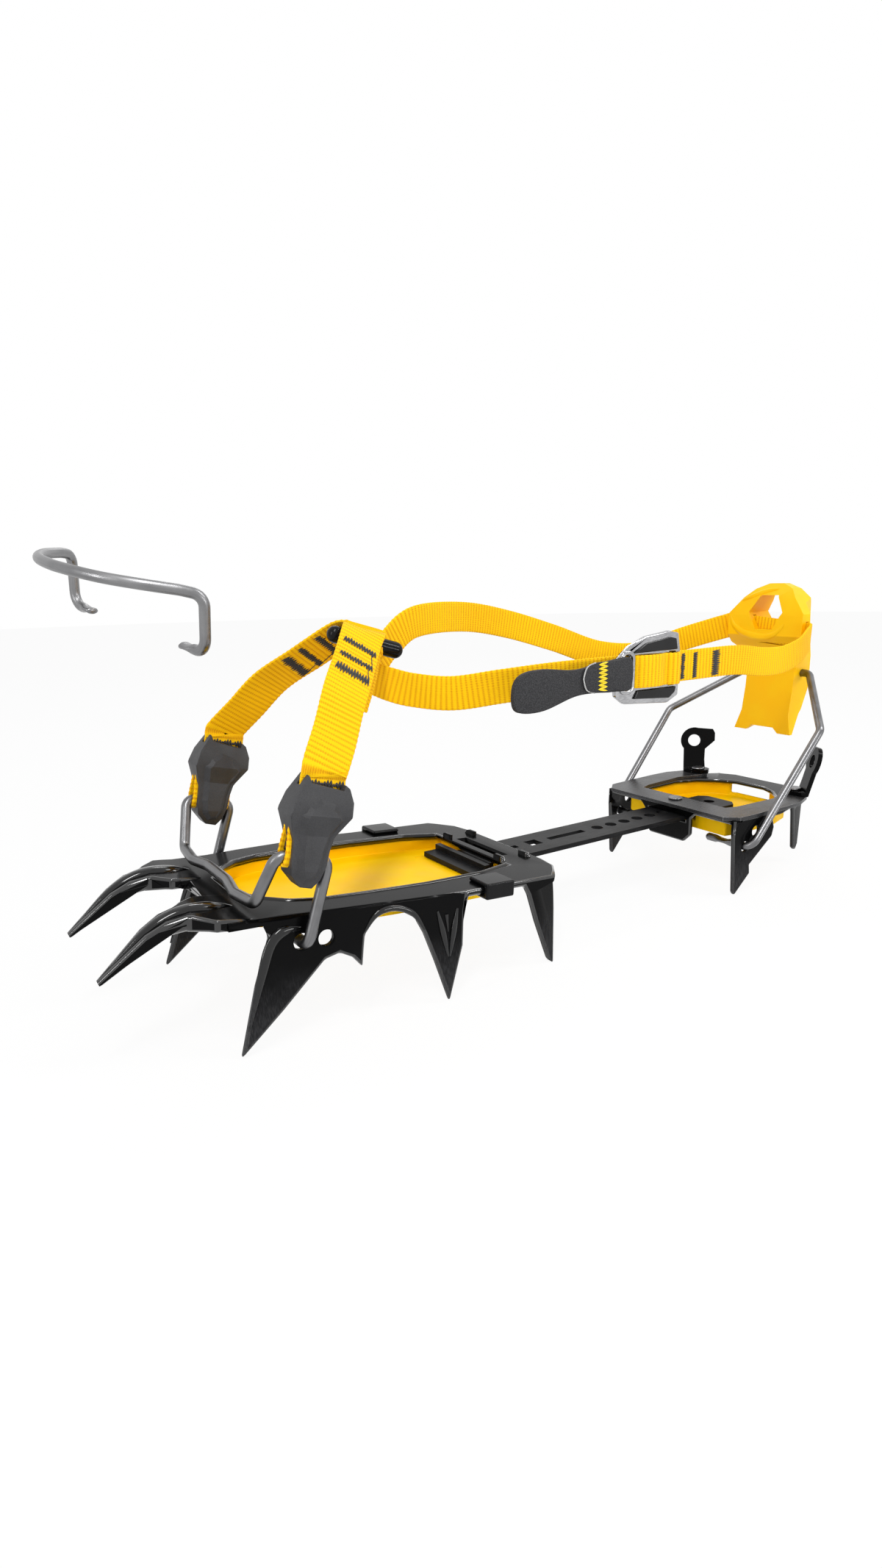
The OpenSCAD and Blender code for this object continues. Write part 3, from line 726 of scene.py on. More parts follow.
@dataclass
class Route:
    """A line cut into even steps, with a direction across it at each step."""

    points: list[Vector]
    across: list[Vector]
    step: float

    @classmethod
    def along(cls, line: Sequence[Vector], across: Callable[[float], Vector], step: float) -> "Route":
        """Cuts a line into even steps.

        Args:
            line: The line's points.
            across: Direction across the line at a share of its length.
            step: Wanted step.

        Returns:
            The route.
        """
        lengths = [0.0]
        for a, b in zip(line, line[1:]):
            lengths.append(lengths[-1] + (b - a).length)
        count = max(2, round(lengths[-1] / step))
        points, i = [], 0
        for n in range(count + 1):
            goal = lengths[-1] * n / count
            while i < len(line) - 2 and lengths[i + 1] < goal:
                i += 1
            span = lengths[i + 1] - lengths[i]
            points.append(line[i].lerp(line[i + 1], (goal - lengths[i]) / span if span else 0.0))
        return cls(points, [across(n / count) for n in range(count + 1)], lengths[-1] / count)

    @classmethod
    def carried(cls, line: Sequence[Vector], start: Vector, step: float) -> "Route":
        """Cuts a line into even steps and carries one direction along it without twist.

        Args:
            line: The line's points.
            start: Direction across the line at its start.
            step: Wanted step.

        Returns:
            The route.
        """
        route = cls.along(line, lambda share: start, step)
        side = start
        for i in range(len(route.points)):
            way = route.way(i)
            side = (side - way * side.dot(way)).normalized()
            route.across[i] = side
        return route

    def way(self, i: int) -> Vector:
        """Direction of the route at a step."""
        return (self.points[min(i + 1, len(self.points) - 1)] - self.points[max(i - 1, 0)]).normalized()

    def frame(self, i: int, wide: float = 1.0, thick: float = 1.0) -> Matrix:
        """Place of a section: X across, Y out of the face, Z along.

        Args:
            i: The step.
            wide: Scale across.
            thick: Scale out of the face.

        Returns:
            The section's matrix.
        """
        way = self.way(i)
        side = (self.across[i] - way * self.across[i].dot(way)).normalized()
        return placed(side * wide, way.cross(side) * thick, way, self.points[i])

    def frames(self) -> list[Matrix]:
        """Place of a section at every step."""
        return [self.frame(i) for i in range(len(self.points))]

    def at(self, distance: float) -> Matrix:
        """Place of a section at a distance from the start."""
        return self.frame(min(len(self.points) - 1, max(0, round(distance / self.step))))

    def nearest(self, spot: Point) -> float:
        """Distance along the route to the point nearest to a spot."""
        goal = Vector(spot)
        return min(range(len(self.points)), key=lambda i: (self.points[i] - goal).length) * self.step


def oval(wide: float, thick: float, sides: int, square: float = 1.0) -> list[Flat]:
    """A closed section: an ellipse that can be squared off.

    Args:
        wide: Width.
        thick: Thickness.
        sides: Points round it.
        square: 1 for an ellipse, less for squarer corners.

    Returns:
        The section's points.
    """
    ring = []
    for k in range(sides):
        turn = 2.0 * math.pi * k / sides
        x, y = (
            math.copysign(abs(part) ** square, part) if abs(part) > 1e-9 else 0.0
            for part in (math.cos(turn), math.sin(turn))
        )
        ring.append((x * wide / 2.0, y * thick / 2.0))
    return ring


# Pieces


def only(kind: type, geometry: Iterable[object]) -> list:
    """The parts of some geometry that are of one kind."""
    return [part for part in geometry if isinstance(part, kind)]


def add_object(name: str, data: bpy.types.ID) -> bpy.types.Object:
    """Makes an object and puts it in the scene.

    Args:
        name: The object's name.
        data: Its mesh, light or camera.

    Returns:
        The object.
    """
    made = bpy.data.objects.new(name, data)
    bpy.context.scene.collection.objects.link(made)
    return made


class Piece:
    """A new mesh, modelled in millimetres and handed over in metres."""

    def __init__(self, name: str) -> None:
        """Starts an empty mesh.

        Args:
            name: The piece's name.
        """
        self.name = name
        self.mesh = bmesh.new()
        self.along = self.mesh.verts.layers.float.new("along")
        self.across = self.mesh.verts.layers.float.new("across")

    def sweep(self, sections: Sequence[Matrix], ring: Sequence[Flat], step: float = 1.0) -> None:
        """Extrudes a closed ring through a row of sections and closes both ends.

        Args:
            sections: Place of the ring at each step.
            ring: The ring's points.
            step: Distance between sections, kept as the along value.
        """
        verts = [self.mesh.verts.new(sections[0] @ Vector((x, y, 0.0))) for x, y in ring]
        for vert, (x, y) in zip(verts, ring):
            vert[self.across] = x if abs(x) > abs(y) * 0.1 else y
        edges = [self.mesh.edges.new(pair) for pair in zip(verts, verts[1:] + verts[:1])]
        first = list(edges)
        for i in range(1, len(sections)):
            grown = bmesh.ops.extrude_edge_only(self.mesh, edges=edges)["geom"]
            verts = only(bmesh.types.BMVert, grown)
            fresh = set(verts)
            edges = [edge for edge in only(bmesh.types.BMEdge, grown) if fresh.issuperset(edge.verts)]
            bmesh.ops.transform(self.mesh, matrix=sections[i] @ sections[i - 1].inverted(), verts=verts)
            for vert in verts:
                vert[self.along] = i * step
        for rim in (first, edges):
            bmesh.ops.edgeloop_fill(self.mesh, edges=rim)

    def ridge(
        self, line: Sequence[Point], out: Vector, widths: Sequence[float], rise: float, place: Matrix
    ) -> None:
        """Adds a raised rib that lies half sunk in a surface.

        Args:
            line: Points on the surface.
            out: Direction out of the surface.
            widths: The rib's width at each point.
            rise: Its rise at the widest point.
            place: Where the points' own frame lies.
        """
        steps, thinnest, widest = 6, 0.1, max(widths)
        flow = smooth(line, steps)
        sizes = [v.x for v in smooth([(w, 0.0, 0.0) for w in widths], steps)]
        route = Route(flow, [out] * len(flow), 1.0)
        sections = []
        for i, size in enumerate(sizes):
            wide = max(size, thinnest)
            way = route.way(i)
            side = way.cross(out).normalized()
            height = side.cross(way).normalized() * (-rise * wide / widest)
            sections.append(place @ placed(side * wide, height, way, flow[i]))
        self.sweep(sections, oval(1.0, 2.0, 12))

    def slab(self, shape: Sequence[Flat], low: float, thick: float) -> tuple[list, list]:
        """Adds a flat slab with the given outline.

        Args:
            shape: Its outline.
            low: Height of its underside.
            thick: Its thickness.

        Returns:
            Its corners, and its top face in a list.
        """
        verts = [self.mesh.verts.new((x, y, low)) for x, y in shape]
        face = self.mesh.faces.new(verts)
        grown = bmesh.ops.extrude_face_region(self.mesh, geom=[face])["geom"]
        top = only(bmesh.types.BMVert, grown)
        bmesh.ops.translate(self.mesh, vec=(0.0, 0.0, thick), verts=top)
        return verts + top, only(bmesh.types.BMFace, grown)

    def plate(self, shape: Sequence[Flat], thick: float, place: Matrix, edge: float) -> None:
        """Adds a flat plate with softened edges.

        Args:
            shape: Its outline.
            thick: Its thickness, from the outline's plane towards +Z.
            place: Where the outline's frame lies.
            edge: Width of the softened edge.
        """
        own, _ = self.slab(shape, 0.0, thick)
        rims = {e for v in own for e in v.link_edges if abs(e.verts[0].co.z - e.verts[1].co.z) < 1e-6}
        made = bmesh.ops.bevel(
            self.mesh, geom=list(rims), offset=edge, segments=3, profile=0.5, affect="EDGES", material=-1,
            clamp_overlap=True,
        )
        own = list({v for f in made["faces"] for v in f.verts} | {v for v in own if v.is_valid})
        bmesh.ops.transform(self.mesh, matrix=place, verts=own)

    def sew(self, ends: Sequence[Vector], thick: float) -> None:
        """Adds a row of stitches, one from each point to the next.

        Args:
            ends: Where the thread goes through the cloth.
            thick: The thread's thickness.
        """
        overlap = 0.56  # half a stitch's length, as a share of it, so that stitches meet
        for start, end in zip(ends, ends[1:]):
            way = end - start
            turn = way.to_track_quat("Z", "Y").to_matrix().to_4x4()
            size = Matrix.Diagonal((thick, thick, way.length, 1.0))
            place = Matrix.Translation((start + end) / 2.0) @ turn @ size
            bmesh.ops.create_icosphere(self.mesh, subdivisions=1, radius=overlap, matrix=place)

    def finish(
        self, finish: Finish, body: Body, slot: Slot, stands_for: Sequence[str] = (), crease: float = 40.0
    ) -> bpy.types.Object:
        """Turns the mesh into a finished object.

        Args:
            finish: Its finish.
            body: The CAD body that it rides on.
            slot: The record's material slot.
            stands_for: CAD nodes that it replaces.
            crease: Edges sharper than this, in degrees, stay sharp.

        Returns:
            The object.
        """
        bmesh.ops.recalc_face_normals(self.mesh, faces=self.mesh.faces)
        bmesh.ops.scale(self.mesh, vec=(MM, MM, MM), verts=self.mesh.verts)
        return dress_up(self.name, self.mesh, finish, body, slot, stands_for, crease)


def dress_up(
    name: str, shape: bmesh.types.BMesh, finish: Finish, body: Body, slot: Slot, stands_for: Sequence[str],
    crease: float,
) -> bpy.types.Object:
    """Makes an object of a mesh, with its finish and its body.

    Args:
        name: The object's name.
        shape: Its mesh, which is freed.
        finish: Its finish.
        body: The CAD body that it rides on.
        slot: Not used.
        stands_for: CAD nodes that it replaces.
        crease: Edges sharper than this, in degrees, stay sharp.

    Returns:
        The object.
    """
    data = bpy.data.meshes.new(name)
    shape.to_mesh(data)
    shape.free()
    if "custom_normal" in data.attributes:
        data.attributes.remove(data.attributes["custom_normal"])
    data.shade_smooth()
    data.set_sharp_from_angle(angle=math.radians(crease))
    piece = add_object(name, data)
    data.materials.append(material_of(finish))
    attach(piece, body.value)
    if stands_for:
        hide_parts(*stands_for)
    LOG.info("%s: %d faces on %s", name, len(data.polygons), body.value)
    return piece


def bend_between(piece: bpy.types.Object, first: Body, second: Body, start: Point, end: Point) -> None:
    """Unparents a strap or its stitching and bakes its place into its mesh.

    Args:
        piece: The strap or its stitching.
        first: Not used.
        second: Not used.
        start: Not used.
        end: Not used.
    """
    piece.parent = None
    Vector(start) * MM
    Vector(end) * MM
    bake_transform(piece)


def free_width(edge: bmesh.types.BMEdge, wanted: float) -> float:
    """Finds how wide an edge can be rounded before it meets its neighbours.

    Args:
        edge: The edge.
        wanted: The wanted width.

    Returns:
        The wanted width, or less.
    """
    straight, share = 0.15, 0.45  # sine below which edges run on, share of an edge that may be used
    span = edge.verts[1].co - edge.verts[0].co
    room = wanted
    for vert in edge.verts:
        for other in vert.link_edges:
            if other is edge or not set(other.link_faces) & set(edge.link_faces):
                continue
            reach = other.other_vert(vert).co - vert.co
            turn = min(1.0, reach.cross(span).length / (reach.length * span.length))
            if turn > straight:
                room = min(room, share * min(span.length, reach.length) / math.tan(math.asin(turn) / 2.0))
    return room


def is_fold(edge: bmesh.types.BMEdge) -> bool:
    """Tells whether an edge is where a sheet is bent down, rather than where it is cut.

    Args:
        edge: The edge.

    Returns:
        True for a bend.
    """
    flat, least_area = 0.9, 60.0 * MM * MM  # Z of a flat face's normal, size of a bent-down face
    first, second = sorted(edge.link_faces, key=lambda f: -abs(f.normal.z))
    return edge.is_convex and abs(first.normal.z) > flat and second.calc_area() > least_area


def soften(
    node: str, finish: Finish, slot: Slot, edge: float, segments: int = 3, fold: float = 0.0,
    fine: Callable[[Vector], bool] = lambda spot: False, edge_finish: Finish | None = None,
) -> bpy.types.Object:
    """Copies a CAD node and rounds its edges, for a pressed or moulded piece.

    Args:
        node: The CAD node.
        finish: Its finish.
        slot: The record's material slot.
        edge: Width of the rounding in millimetres.
        segments: Steps in the rounding.
        fold: Width of the rounding where the sheet is bent down, if more.
        fine: Tells whether a spot in metres has detail too fine to be rounded.
        edge_finish: The rounding's own finish, if it has one.

    Returns:
        The softened copy, which stands for the node.
    """
    same_spot, same_face, sharp = 0.002 * MM, math.radians(1.2), math.radians(28.0)
    least_share = 0.7  # of the edge's width: an edge with less room isn't rounded
    source = FRAME["nodes"][node]
    shape = bmesh.new()
    shape.from_mesh(source.data)
    bmesh.ops.remove_doubles(shape, verts=shape.verts, dist=same_spot)
    bmesh.ops.dissolve_limit(
        shape, angle_limit=same_face, use_dissolve_boundaries=False, verts=shape.verts, edges=shape.edges
    )
    if fold:
        weight = shape.edges.layers.float.new("bevel_weight_edge")
        for line in shape.edges:
            if len(line.link_faces) == 2 and line.calc_face_angle() > sharp:
                room = free_width(line, (fold if is_fold(line) else edge) * MM)
                kept = room < least_share * edge * MM or any(fine(vert.co) for vert in line.verts)
                line[weight] = 0.0 if kept else room / (fold * MM)
    piece = dress_up(f"{node}_dressed", shape, finish, Body(source["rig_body"]), slot, (node,), 180.0)
    rounding = piece.modifiers.new("rounding", "BEVEL")
    rounding.width = max(edge, fold) * MM
    rounding.segments = segments
    rounding.limit_method = "WEIGHT" if fold else "ANGLE"
    rounding.angle_limit = sharp
    rounding.use_clamp_overlap = not fold
    if edge_finish:
        piece.data.materials.append(material_of(edge_finish))
        rounding.material = 1
    flat = piece.modifiers.new("flat_faces", "WEIGHTED_NORMAL")
    flat.keep_sharp = False
    flat.weight = 100
    return piece


def laid_on(node: str, spots: Sequence[Point], way: Vector) -> list[Point]:
    """Drops points onto a CAD node's surface.

    Args:
        node: The CAD node.
        spots: Points in front of the surface.
        way: Direction in which they drop.

    Returns:
        Where they land, without those that miss.
    """
    shape = bmesh.new()
    shape.from_mesh(FRAME["nodes"][node].data)
    tree = BVHTree.FromBMesh(shape)
    shape.free()
    landed = [tree.ray_cast(Vector(spot) * MM, way)[0] for spot in spots]
    return [tuple(hit / MM) for hit in landed if hit]


# The crampon's sub-assemblies


@dataclass
class FrontSection:
    """Pressed front frame, its flexible tray, clips and the link bar."""

    start: float = 20.0
    height: float = 34.0
    tilt: float = 3.9
    half_width: float = 42.5
    flange_start: float = 42.0
    flange_yaw: float = 5.6
    flange_lean: float = 7.0
    point_y: float = 21.0
    root: float = 123.0
    rim_wire: float = 2.3
    rim_z: float = -0.6
    rim_bend: float = 8.0
    rim_step: float = 2.0
    fold: float = 3.2
    frame_edge: float = 1.0
    tray_edge: float = 1.2
    clip_edge: float = 0.7
    bar_edge: float = 0.45
    slots: Flat = (37.0, 19.0)
    """End in X and half width of the area of the slots that hold the link bar."""
    rim: Outline = (
        (11.5, 18.5), (25.0, 14.5), (50.0, 13.0), (75.0, 14.0), (90.0, 15.2), (99.0, 18.4), (106.0, 24.4),
        (112.2, 34.5),
    )
    """The opening's edge: place along the frame, and distance from the flange."""
    point_rib: Outline = (
        (-7.0, -0.3), (0.0, 0.75), (8.0, 1.25), (15.0, -0.35), (21.0, -3.95), (26.5, -8.95), (30.5, -12.8),
    )
    point_widths: tuple[float, ...] = (1.0, 5.6, 5.4, 4.6, 3.6, 2.4, 0.8)
    point_rise: float = 1.5
    flange_ribs: tuple[tuple[Outline, tuple[float, ...], float], ...] = (
        (
            ((101.0, -4.6), (106.5, -4.9), (110.6, -8.4), (113.6, -17.0), (118.4, -34.0)),
            (1.0, 3.2, 3.4, 3.0, 0.8), 1.1,
        ),
        (
            ((58.5, -11.0), (62.5, -5.2), (69.0, -2.4), (75.5, -3.6), (79.6, -8.4)),
            (0.8, 2.0, 2.2, 2.0, 0.8), 0.8,
        ),
        (((46.0, -5.5), (47.6, -13.0), (49.2, -21.5)), (0.8, 2.3, 0.7), 0.9),
        (((53.6, -5.5), (51.6, -13.0), (49.8, -21.5)), (0.8, 2.3, 0.7), 0.9),
        (((50.2, -7.0), (49.7, -13.0)), (1.5, 0.5), 0.5),
    )
    """Ribs on the flange, as along and up it: points, widths and rise."""
    flange_skin: float = 0.1

    def place(self) -> Matrix:
        """Where the frame's own coordinates lie."""
        return moved(self.start, 0.0, self.height) @ turned(0.0, -self.tilt, 0.0)

    def flange(self, side: int) -> Matrix:
        """Where the outer face of one side flange lies, seen as U along and W up.

        Args:
            side: 1 for the +Y flange, -1 for the other.

        Returns:
            The flange's matrix.
        """
        to_flange = (
            moved(self.flange_start, self.half_width, 0.0)
            @ turned(0.0, 0.0, -self.flange_yaw)
            @ turned(self.flange_lean, 0.0, 0.0)
            @ moved(-self.flange_start, 0.0, 0.0)
        )
        return self.place() @ Matrix.Diagonal((1.0, float(side), 1.0, 1.0)) @ to_flange

    def near_bar(self, spot: Vector) -> bool:
        """Tells whether a spot is at the narrow slots that hold the link bar."""
        return spot.x < self.slots[0] * MM and abs(spot.y) < self.slots[1] * MM

    def build_ribs(self) -> None:
        """Raised ribs pressed into the points and round the opening."""
        piece = Piece("front_frame_ribs")
        for side in SIDES:
            line = [(self.root + u, side * self.point_y, w) for u, w in self.point_rib]
            piece.ridge(line, Z_AXIS, self.point_widths, self.point_rise, self.place())
            for rib, widths, rise in self.flange_ribs:
                line = [(u, self.flange_skin, w) for u, w in rib]
                piece.ridge(line, Y_AXIS, widths, rise, self.flange(side))
        piece.finish(ENAMEL_RIB, Body.FRONT, Slot.BLACK_STEEL)

    def build_rim(self) -> None:
        """Rolled bead round the frame's opening."""
        half = [(x, self.half_width - inset, self.rim_z) for x, inset in self.rim]
        route = Route.carried(rounded(both_sides(half), self.rim_bend, 6), Z_AXIS, self.rim_step)
        place = self.place()
        piece = Piece("front_frame_rim")
        piece.sweep([place @ frame for frame in route.frames()], oval(self.rim_wire, self.rim_wire, 10))
        piece.finish(ENAMEL_RIB, Body.FRONT, Slot.BLACK_STEEL)

    def build(self) -> None:
        """Builds and dresses the front section."""
        edge, fold = self.frame_edge, self.fold
        soften("front_frame", ENAMEL, Slot.BLACK_STEEL, edge, 3, fold, self.near_bar, ENAMEL_EDGE)
        soften("front_antiball_plate", TRAY, Slot.PLASTIC, self.tray_edge)
        soften("antiball_clips", CLIP, Slot.CLIP, self.clip_edge)
        soften("link_bar", BAR, Slot.BAR_STEEL, self.bar_edge)
        self.build_ribs()
        self.build_rim()


@dataclass
class HeelSection:
    """Pressed heel frame, its tray, the heel plate, the posts and the lock leaf."""

    fold: float = 2.2
    frame_edge: float = 0.8
    tray_edge: float = 1.2
    plate_edge: float = 0.4
    rivet_edge: float = 0.45
    post_edge: float = 0.55
    leaf_edge: float = 0.25

    def build(self) -> None:
        """Builds and dresses the heel section."""
        soften("heel_frame", ENAMEL, Slot.BLACK_STEEL, self.frame_edge, 3, self.fold, edge_finish=ENAMEL_EDGE)
        soften("heel_antiball_plate", TRAY, Slot.PLASTIC, self.tray_edge)
        soften("heel_plate", PLATE, Slot.BAR_STEEL, self.plate_edge, edge_finish=RIVET)
        soften("heel_rivets", RIVET, Slot.WIRE, self.rivet_edge)
        for name, _ in SIDES.values():
            soften(f"heel_post_{name}", ENAMEL, Slot.BLACK_STEEL, self.post_edge, edge_finish=ENAMEL_EDGE)
        soften("lock_leaf", BAR, Slot.BLACK_STEEL, self.leaf_edge)


@dataclass
class BentWire:
    """A spring wire, the same on both sides, with flattened inner ends."""

    name: str
    thick: float
    half_path: list[Point]
    body: Body
    stands_for: str
    bend: float = 5.0
    flat_at: float = 9.0
    flat_half: float = 3.0
    finish: Finish = WIRE
    place: Matrix = field(default_factory=lambda: Matrix.Identity(4))
    step: float = 0.9
    pressed: Flat = (0.45, 0.35)
    """How much narrower and thicker the wire is where it is pressed flat."""
    tip: Flat = (0.6, 2.0)
    """Size of the wire's end as a share of the whole, and length over which it grows by a whole."""
    sides: int = 18
    crease: float = 60.0

    def build(self) -> None:
        """Sweeps the wire along its rounded path."""
        route = Route.carried(rounded(both_sides(self.half_path), self.bend, 10), Z_AXIS, self.step)
        last = len(route.points) - 1
        sections = []
        for i in range(last + 1):
            reach = min(i * route.step, route.step * last - i * route.step)
            press = math.exp(-(((reach - self.flat_at) / self.flat_half) ** 4))
            size = min(1.0, self.tip[0] + reach / self.tip[1])
            wide, high = size * (1.0 - self.pressed[0] * press), size * (1.0 + self.pressed[1] * press)
            sections.append(self.place @ route.frame(i, wide, high))
        piece = Piece(self.name)
        piece.sweep(sections, oval(self.thick, self.thick, self.sides), route.step)
        piece.finish(self.finish, self.body, Slot.WIRE, (self.stands_for,), self.crease)


@dataclass
class Webbing:
    """A length of ribbed webbing."""

    name: str
    line: list[Vector]
    across: Callable[[float], Vector]
    width: float
    body: Body
    stands_for: tuple[str, ...] = ()
    thick: float = 1.4
    rib: float = 1.8
    valley: Flat = (0.985, 0.76)
    """Width and thickness between two ribs, as shares of the whole."""
    crest: Flat = (0.015, 0.24)
    """What a rib adds to them."""
    square: float = 0.34
    sides: int = 20
    crease: float = 75.0

    def build(self) -> tuple[bpy.types.Object, Route]:
        """Weaves the webbing, in quarters of a rib.

        Returns:
            The webbing, and its route for the stitches on it.
        """
        route = Route.along(self.line, self.across, self.rib / 4.0)
        sections = []
        for i in range(len(route.points)):
            swell = math.sin(math.pi * i * route.step / self.rib) ** 2
            wide, high = (low + more * swell for low, more in zip(self.valley, self.crest))
            sections.append(route.frame(i, wide, high))
        piece = Piece(self.name)
        piece.sweep(sections, oval(self.width, self.thick, self.sides, self.square), route.step)
        return piece.finish(WEB, self.body, Slot.WEBBING, self.stands_for, self.crease), route


@dataclass
class Seam:
    """Stitching on one face of a piece of webbing."""

    piece: Piece
    route: Route
    face: float
    thread: float = 0.56
    wander: float = 2.4
    """Radians between one stroke's wandering and the next's."""

    def spot(self, distance: float, side: float) -> Vector:
        """A point on the webbing's face.

        Args:
            distance: Distance along the webbing.
            side: Distance from its middle.

        Returns:
            The point.
        """
        return self.route.at(distance) @ Vector((side, self.face, 0.0))

    def zigzag(self, middle: float, reach: float, half: float, pitch: float, ragged: float) -> None:
        """Sews one zigzag row across the webbing.

        Args:
            middle: Distance along the webbing of the row's middle.
            reach: Half the row's width along the webbing.
            half: Half its length across the webbing.
            pitch: Distance between strokes.
            ragged: How much the strokes' ends wander.
        """
        ends = []
        for k in range(int(2.0 * half / pitch) + 1):
            wander = ragged * math.sin(k * self.wander) * reach
            ends.append(self.spot(middle + (reach if k % 2 else -reach) + wander, -half + k * pitch))
        self.piece.sew(ends, self.thread)


@dataclass
class FrontStraps:
    """The ring, and the two straps from the connectors over it, with their seams."""

    ring: Point = (74.0, 0.0, 118.0)
    ring_edge: float = 0.3
    width: float = 15.0
    rib: float = 1.95
    base: Flat = (12.0, -1.2)
    """Where the strap starts in its connector: distance out from the wire, and along it."""
    straight: tuple[float, ...] = (0.0, 6.0, 12.0, 15.0)
    rise: tuple[Point, ...] = ((105.5, 36.0, 94.0), (98.0, 28.5, 104.0), (88.5, 18.0, 112.5))
    near_end: tuple[Point, ...] = (
        (5.0, 7.0, 3.0375), (0.6, 0.9, 4.05), (0.0, -3.2, 2.2), (0.0, -3.9, -0.6), (0.8, -1.6, -3.6),
        (3.4, 2.4, -2.0), (10.6, 12.4, -7.4), (17.0, 20.0, -12.6), (20.4, 23.6, -16.0),
    )
    """Over the ring, round it and back under the strap, seen from the ring."""
    far_end: tuple[Point, ...] = ((5.0, 7.0, 3.0375), (1.2, 1.6, 5.05), (0.6, -1.2, 5.25))
    far_way: Point = (1.0, 0.0, 0.28)
    """Direction across the strap at the ring."""
    turn: float = 1.5
    """The strap has turned that way after one part in this of its length."""
    tacks: tuple[tuple[Point, float], ...] = (
        ((83.5, 11.8, 117.6), 1.5), ((87.6, 16.9, 113.6), 1.4), ((91.4, 21.4, 110.4), 2.2),
    )
    """The bar tacks: place and half their width."""
    tack_row: Point = (6.2, 0.5, 0.15)
    """Half length, pitch and raggedness of a bar tack."""
    mouth: Flat = (-5.6, 22.6)
    """Where the strap leaves its connector, in X and Z from the wire."""
    mouth_inside: float = 0.9
    mouth_row: tuple[float, ...] = (1.0, 6.8, 0.5, 0.5)
    """Reach, half length, pitch and raggedness of the seam there."""
    carried: Point = (-4.5, -6.0, 0.3)
    """The thread between two tacks: where it leaves one, where it joins the next, and its size."""
    bend: tuple[Point, Flat] = ((100.0, 30.0, 101.5), (111.5, 86.0))
    """Start of the bend into the connector, and X and Z of its end."""

    def line(self, side: int) -> list[Vector]:
        """The strap's route from its connector over the ring.

        Args:
            side: 1 for the +Y strap, -1 for the other.

        Returns:
            The route's points.
        """
        base = Vector(STRETCH) + STRETCH_OUT * self.base[0] + STRETCH_WAY * self.base[1]
        points = [tuple(base + STRETCH_OUT * d) for d in self.straight] + list(self.rise)
        rx, ry, rz = self.ring
        points += [(rx + x, ry + y, rz + z) for x, y, z in (self.near_end if side > 0 else self.far_end)]
        return smooth([(x, side * y, z) for x, y, z in points], 10)

    def across(self, share: float) -> Vector:
        """Direction across the strap at a share of its length."""
        return STRETCH_WAY.lerp(Vector(self.far_way), min(1.0, share * self.turn)).normalized()

    def build(self) -> None:
        """Builds the ring, both straps and their stitching."""
        soften("strap_ring", CLIP, Slot.CLIP, self.ring_edge)
        mouth_x, mouth_z = STRETCH[0] + self.mouth[0], STRETCH[2] + self.mouth[1]
        (start_x, start_y, start_z), (end_x, end_z) = self.bend
        leaves, joins, size = self.carried
        for side, (name, connector) in SIDES.items():
            web = Webbing(
                f"front_strap_{name}_web", self.line(side), self.across, self.width, Body.HARNESS,
                (f"front_strap_{name}",), rib=self.rib,
            )
            strap, route = web.build()
            thread = Piece(f"front_strap_{name}_seams")
            rows = [(route.nearest((x, side * y, z)), reach) for (x, y, z), reach in self.tacks]
            mouth = route.nearest((mouth_x, side * STRETCH[1], mouth_z)) - self.mouth_inside
            for face in (1.0, -1.0):
                seam = Seam(thread, route, web.thick * 0.5 * face)
                for row, reach in rows:
                    seam.zigzag(row, reach, *self.tack_row)
                for (a, _), (b, _) in zip(rows, rows[1:]):
                    thread.sew([seam.spot(a, leaves), seam.spot(b, joins)], size)
                seam.zigzag(mouth, *self.mouth_row)
            sewn = thread.finish(BLACK_THREAD, Body.HARNESS, Slot.WEBBING)
            start, end = (start_x, side * start_y, start_z), (end_x, side * STRETCH[1], end_z)
            for piece in (strap, sewn):
                bend_between(piece, Body.HARNESS, connector, start, end)


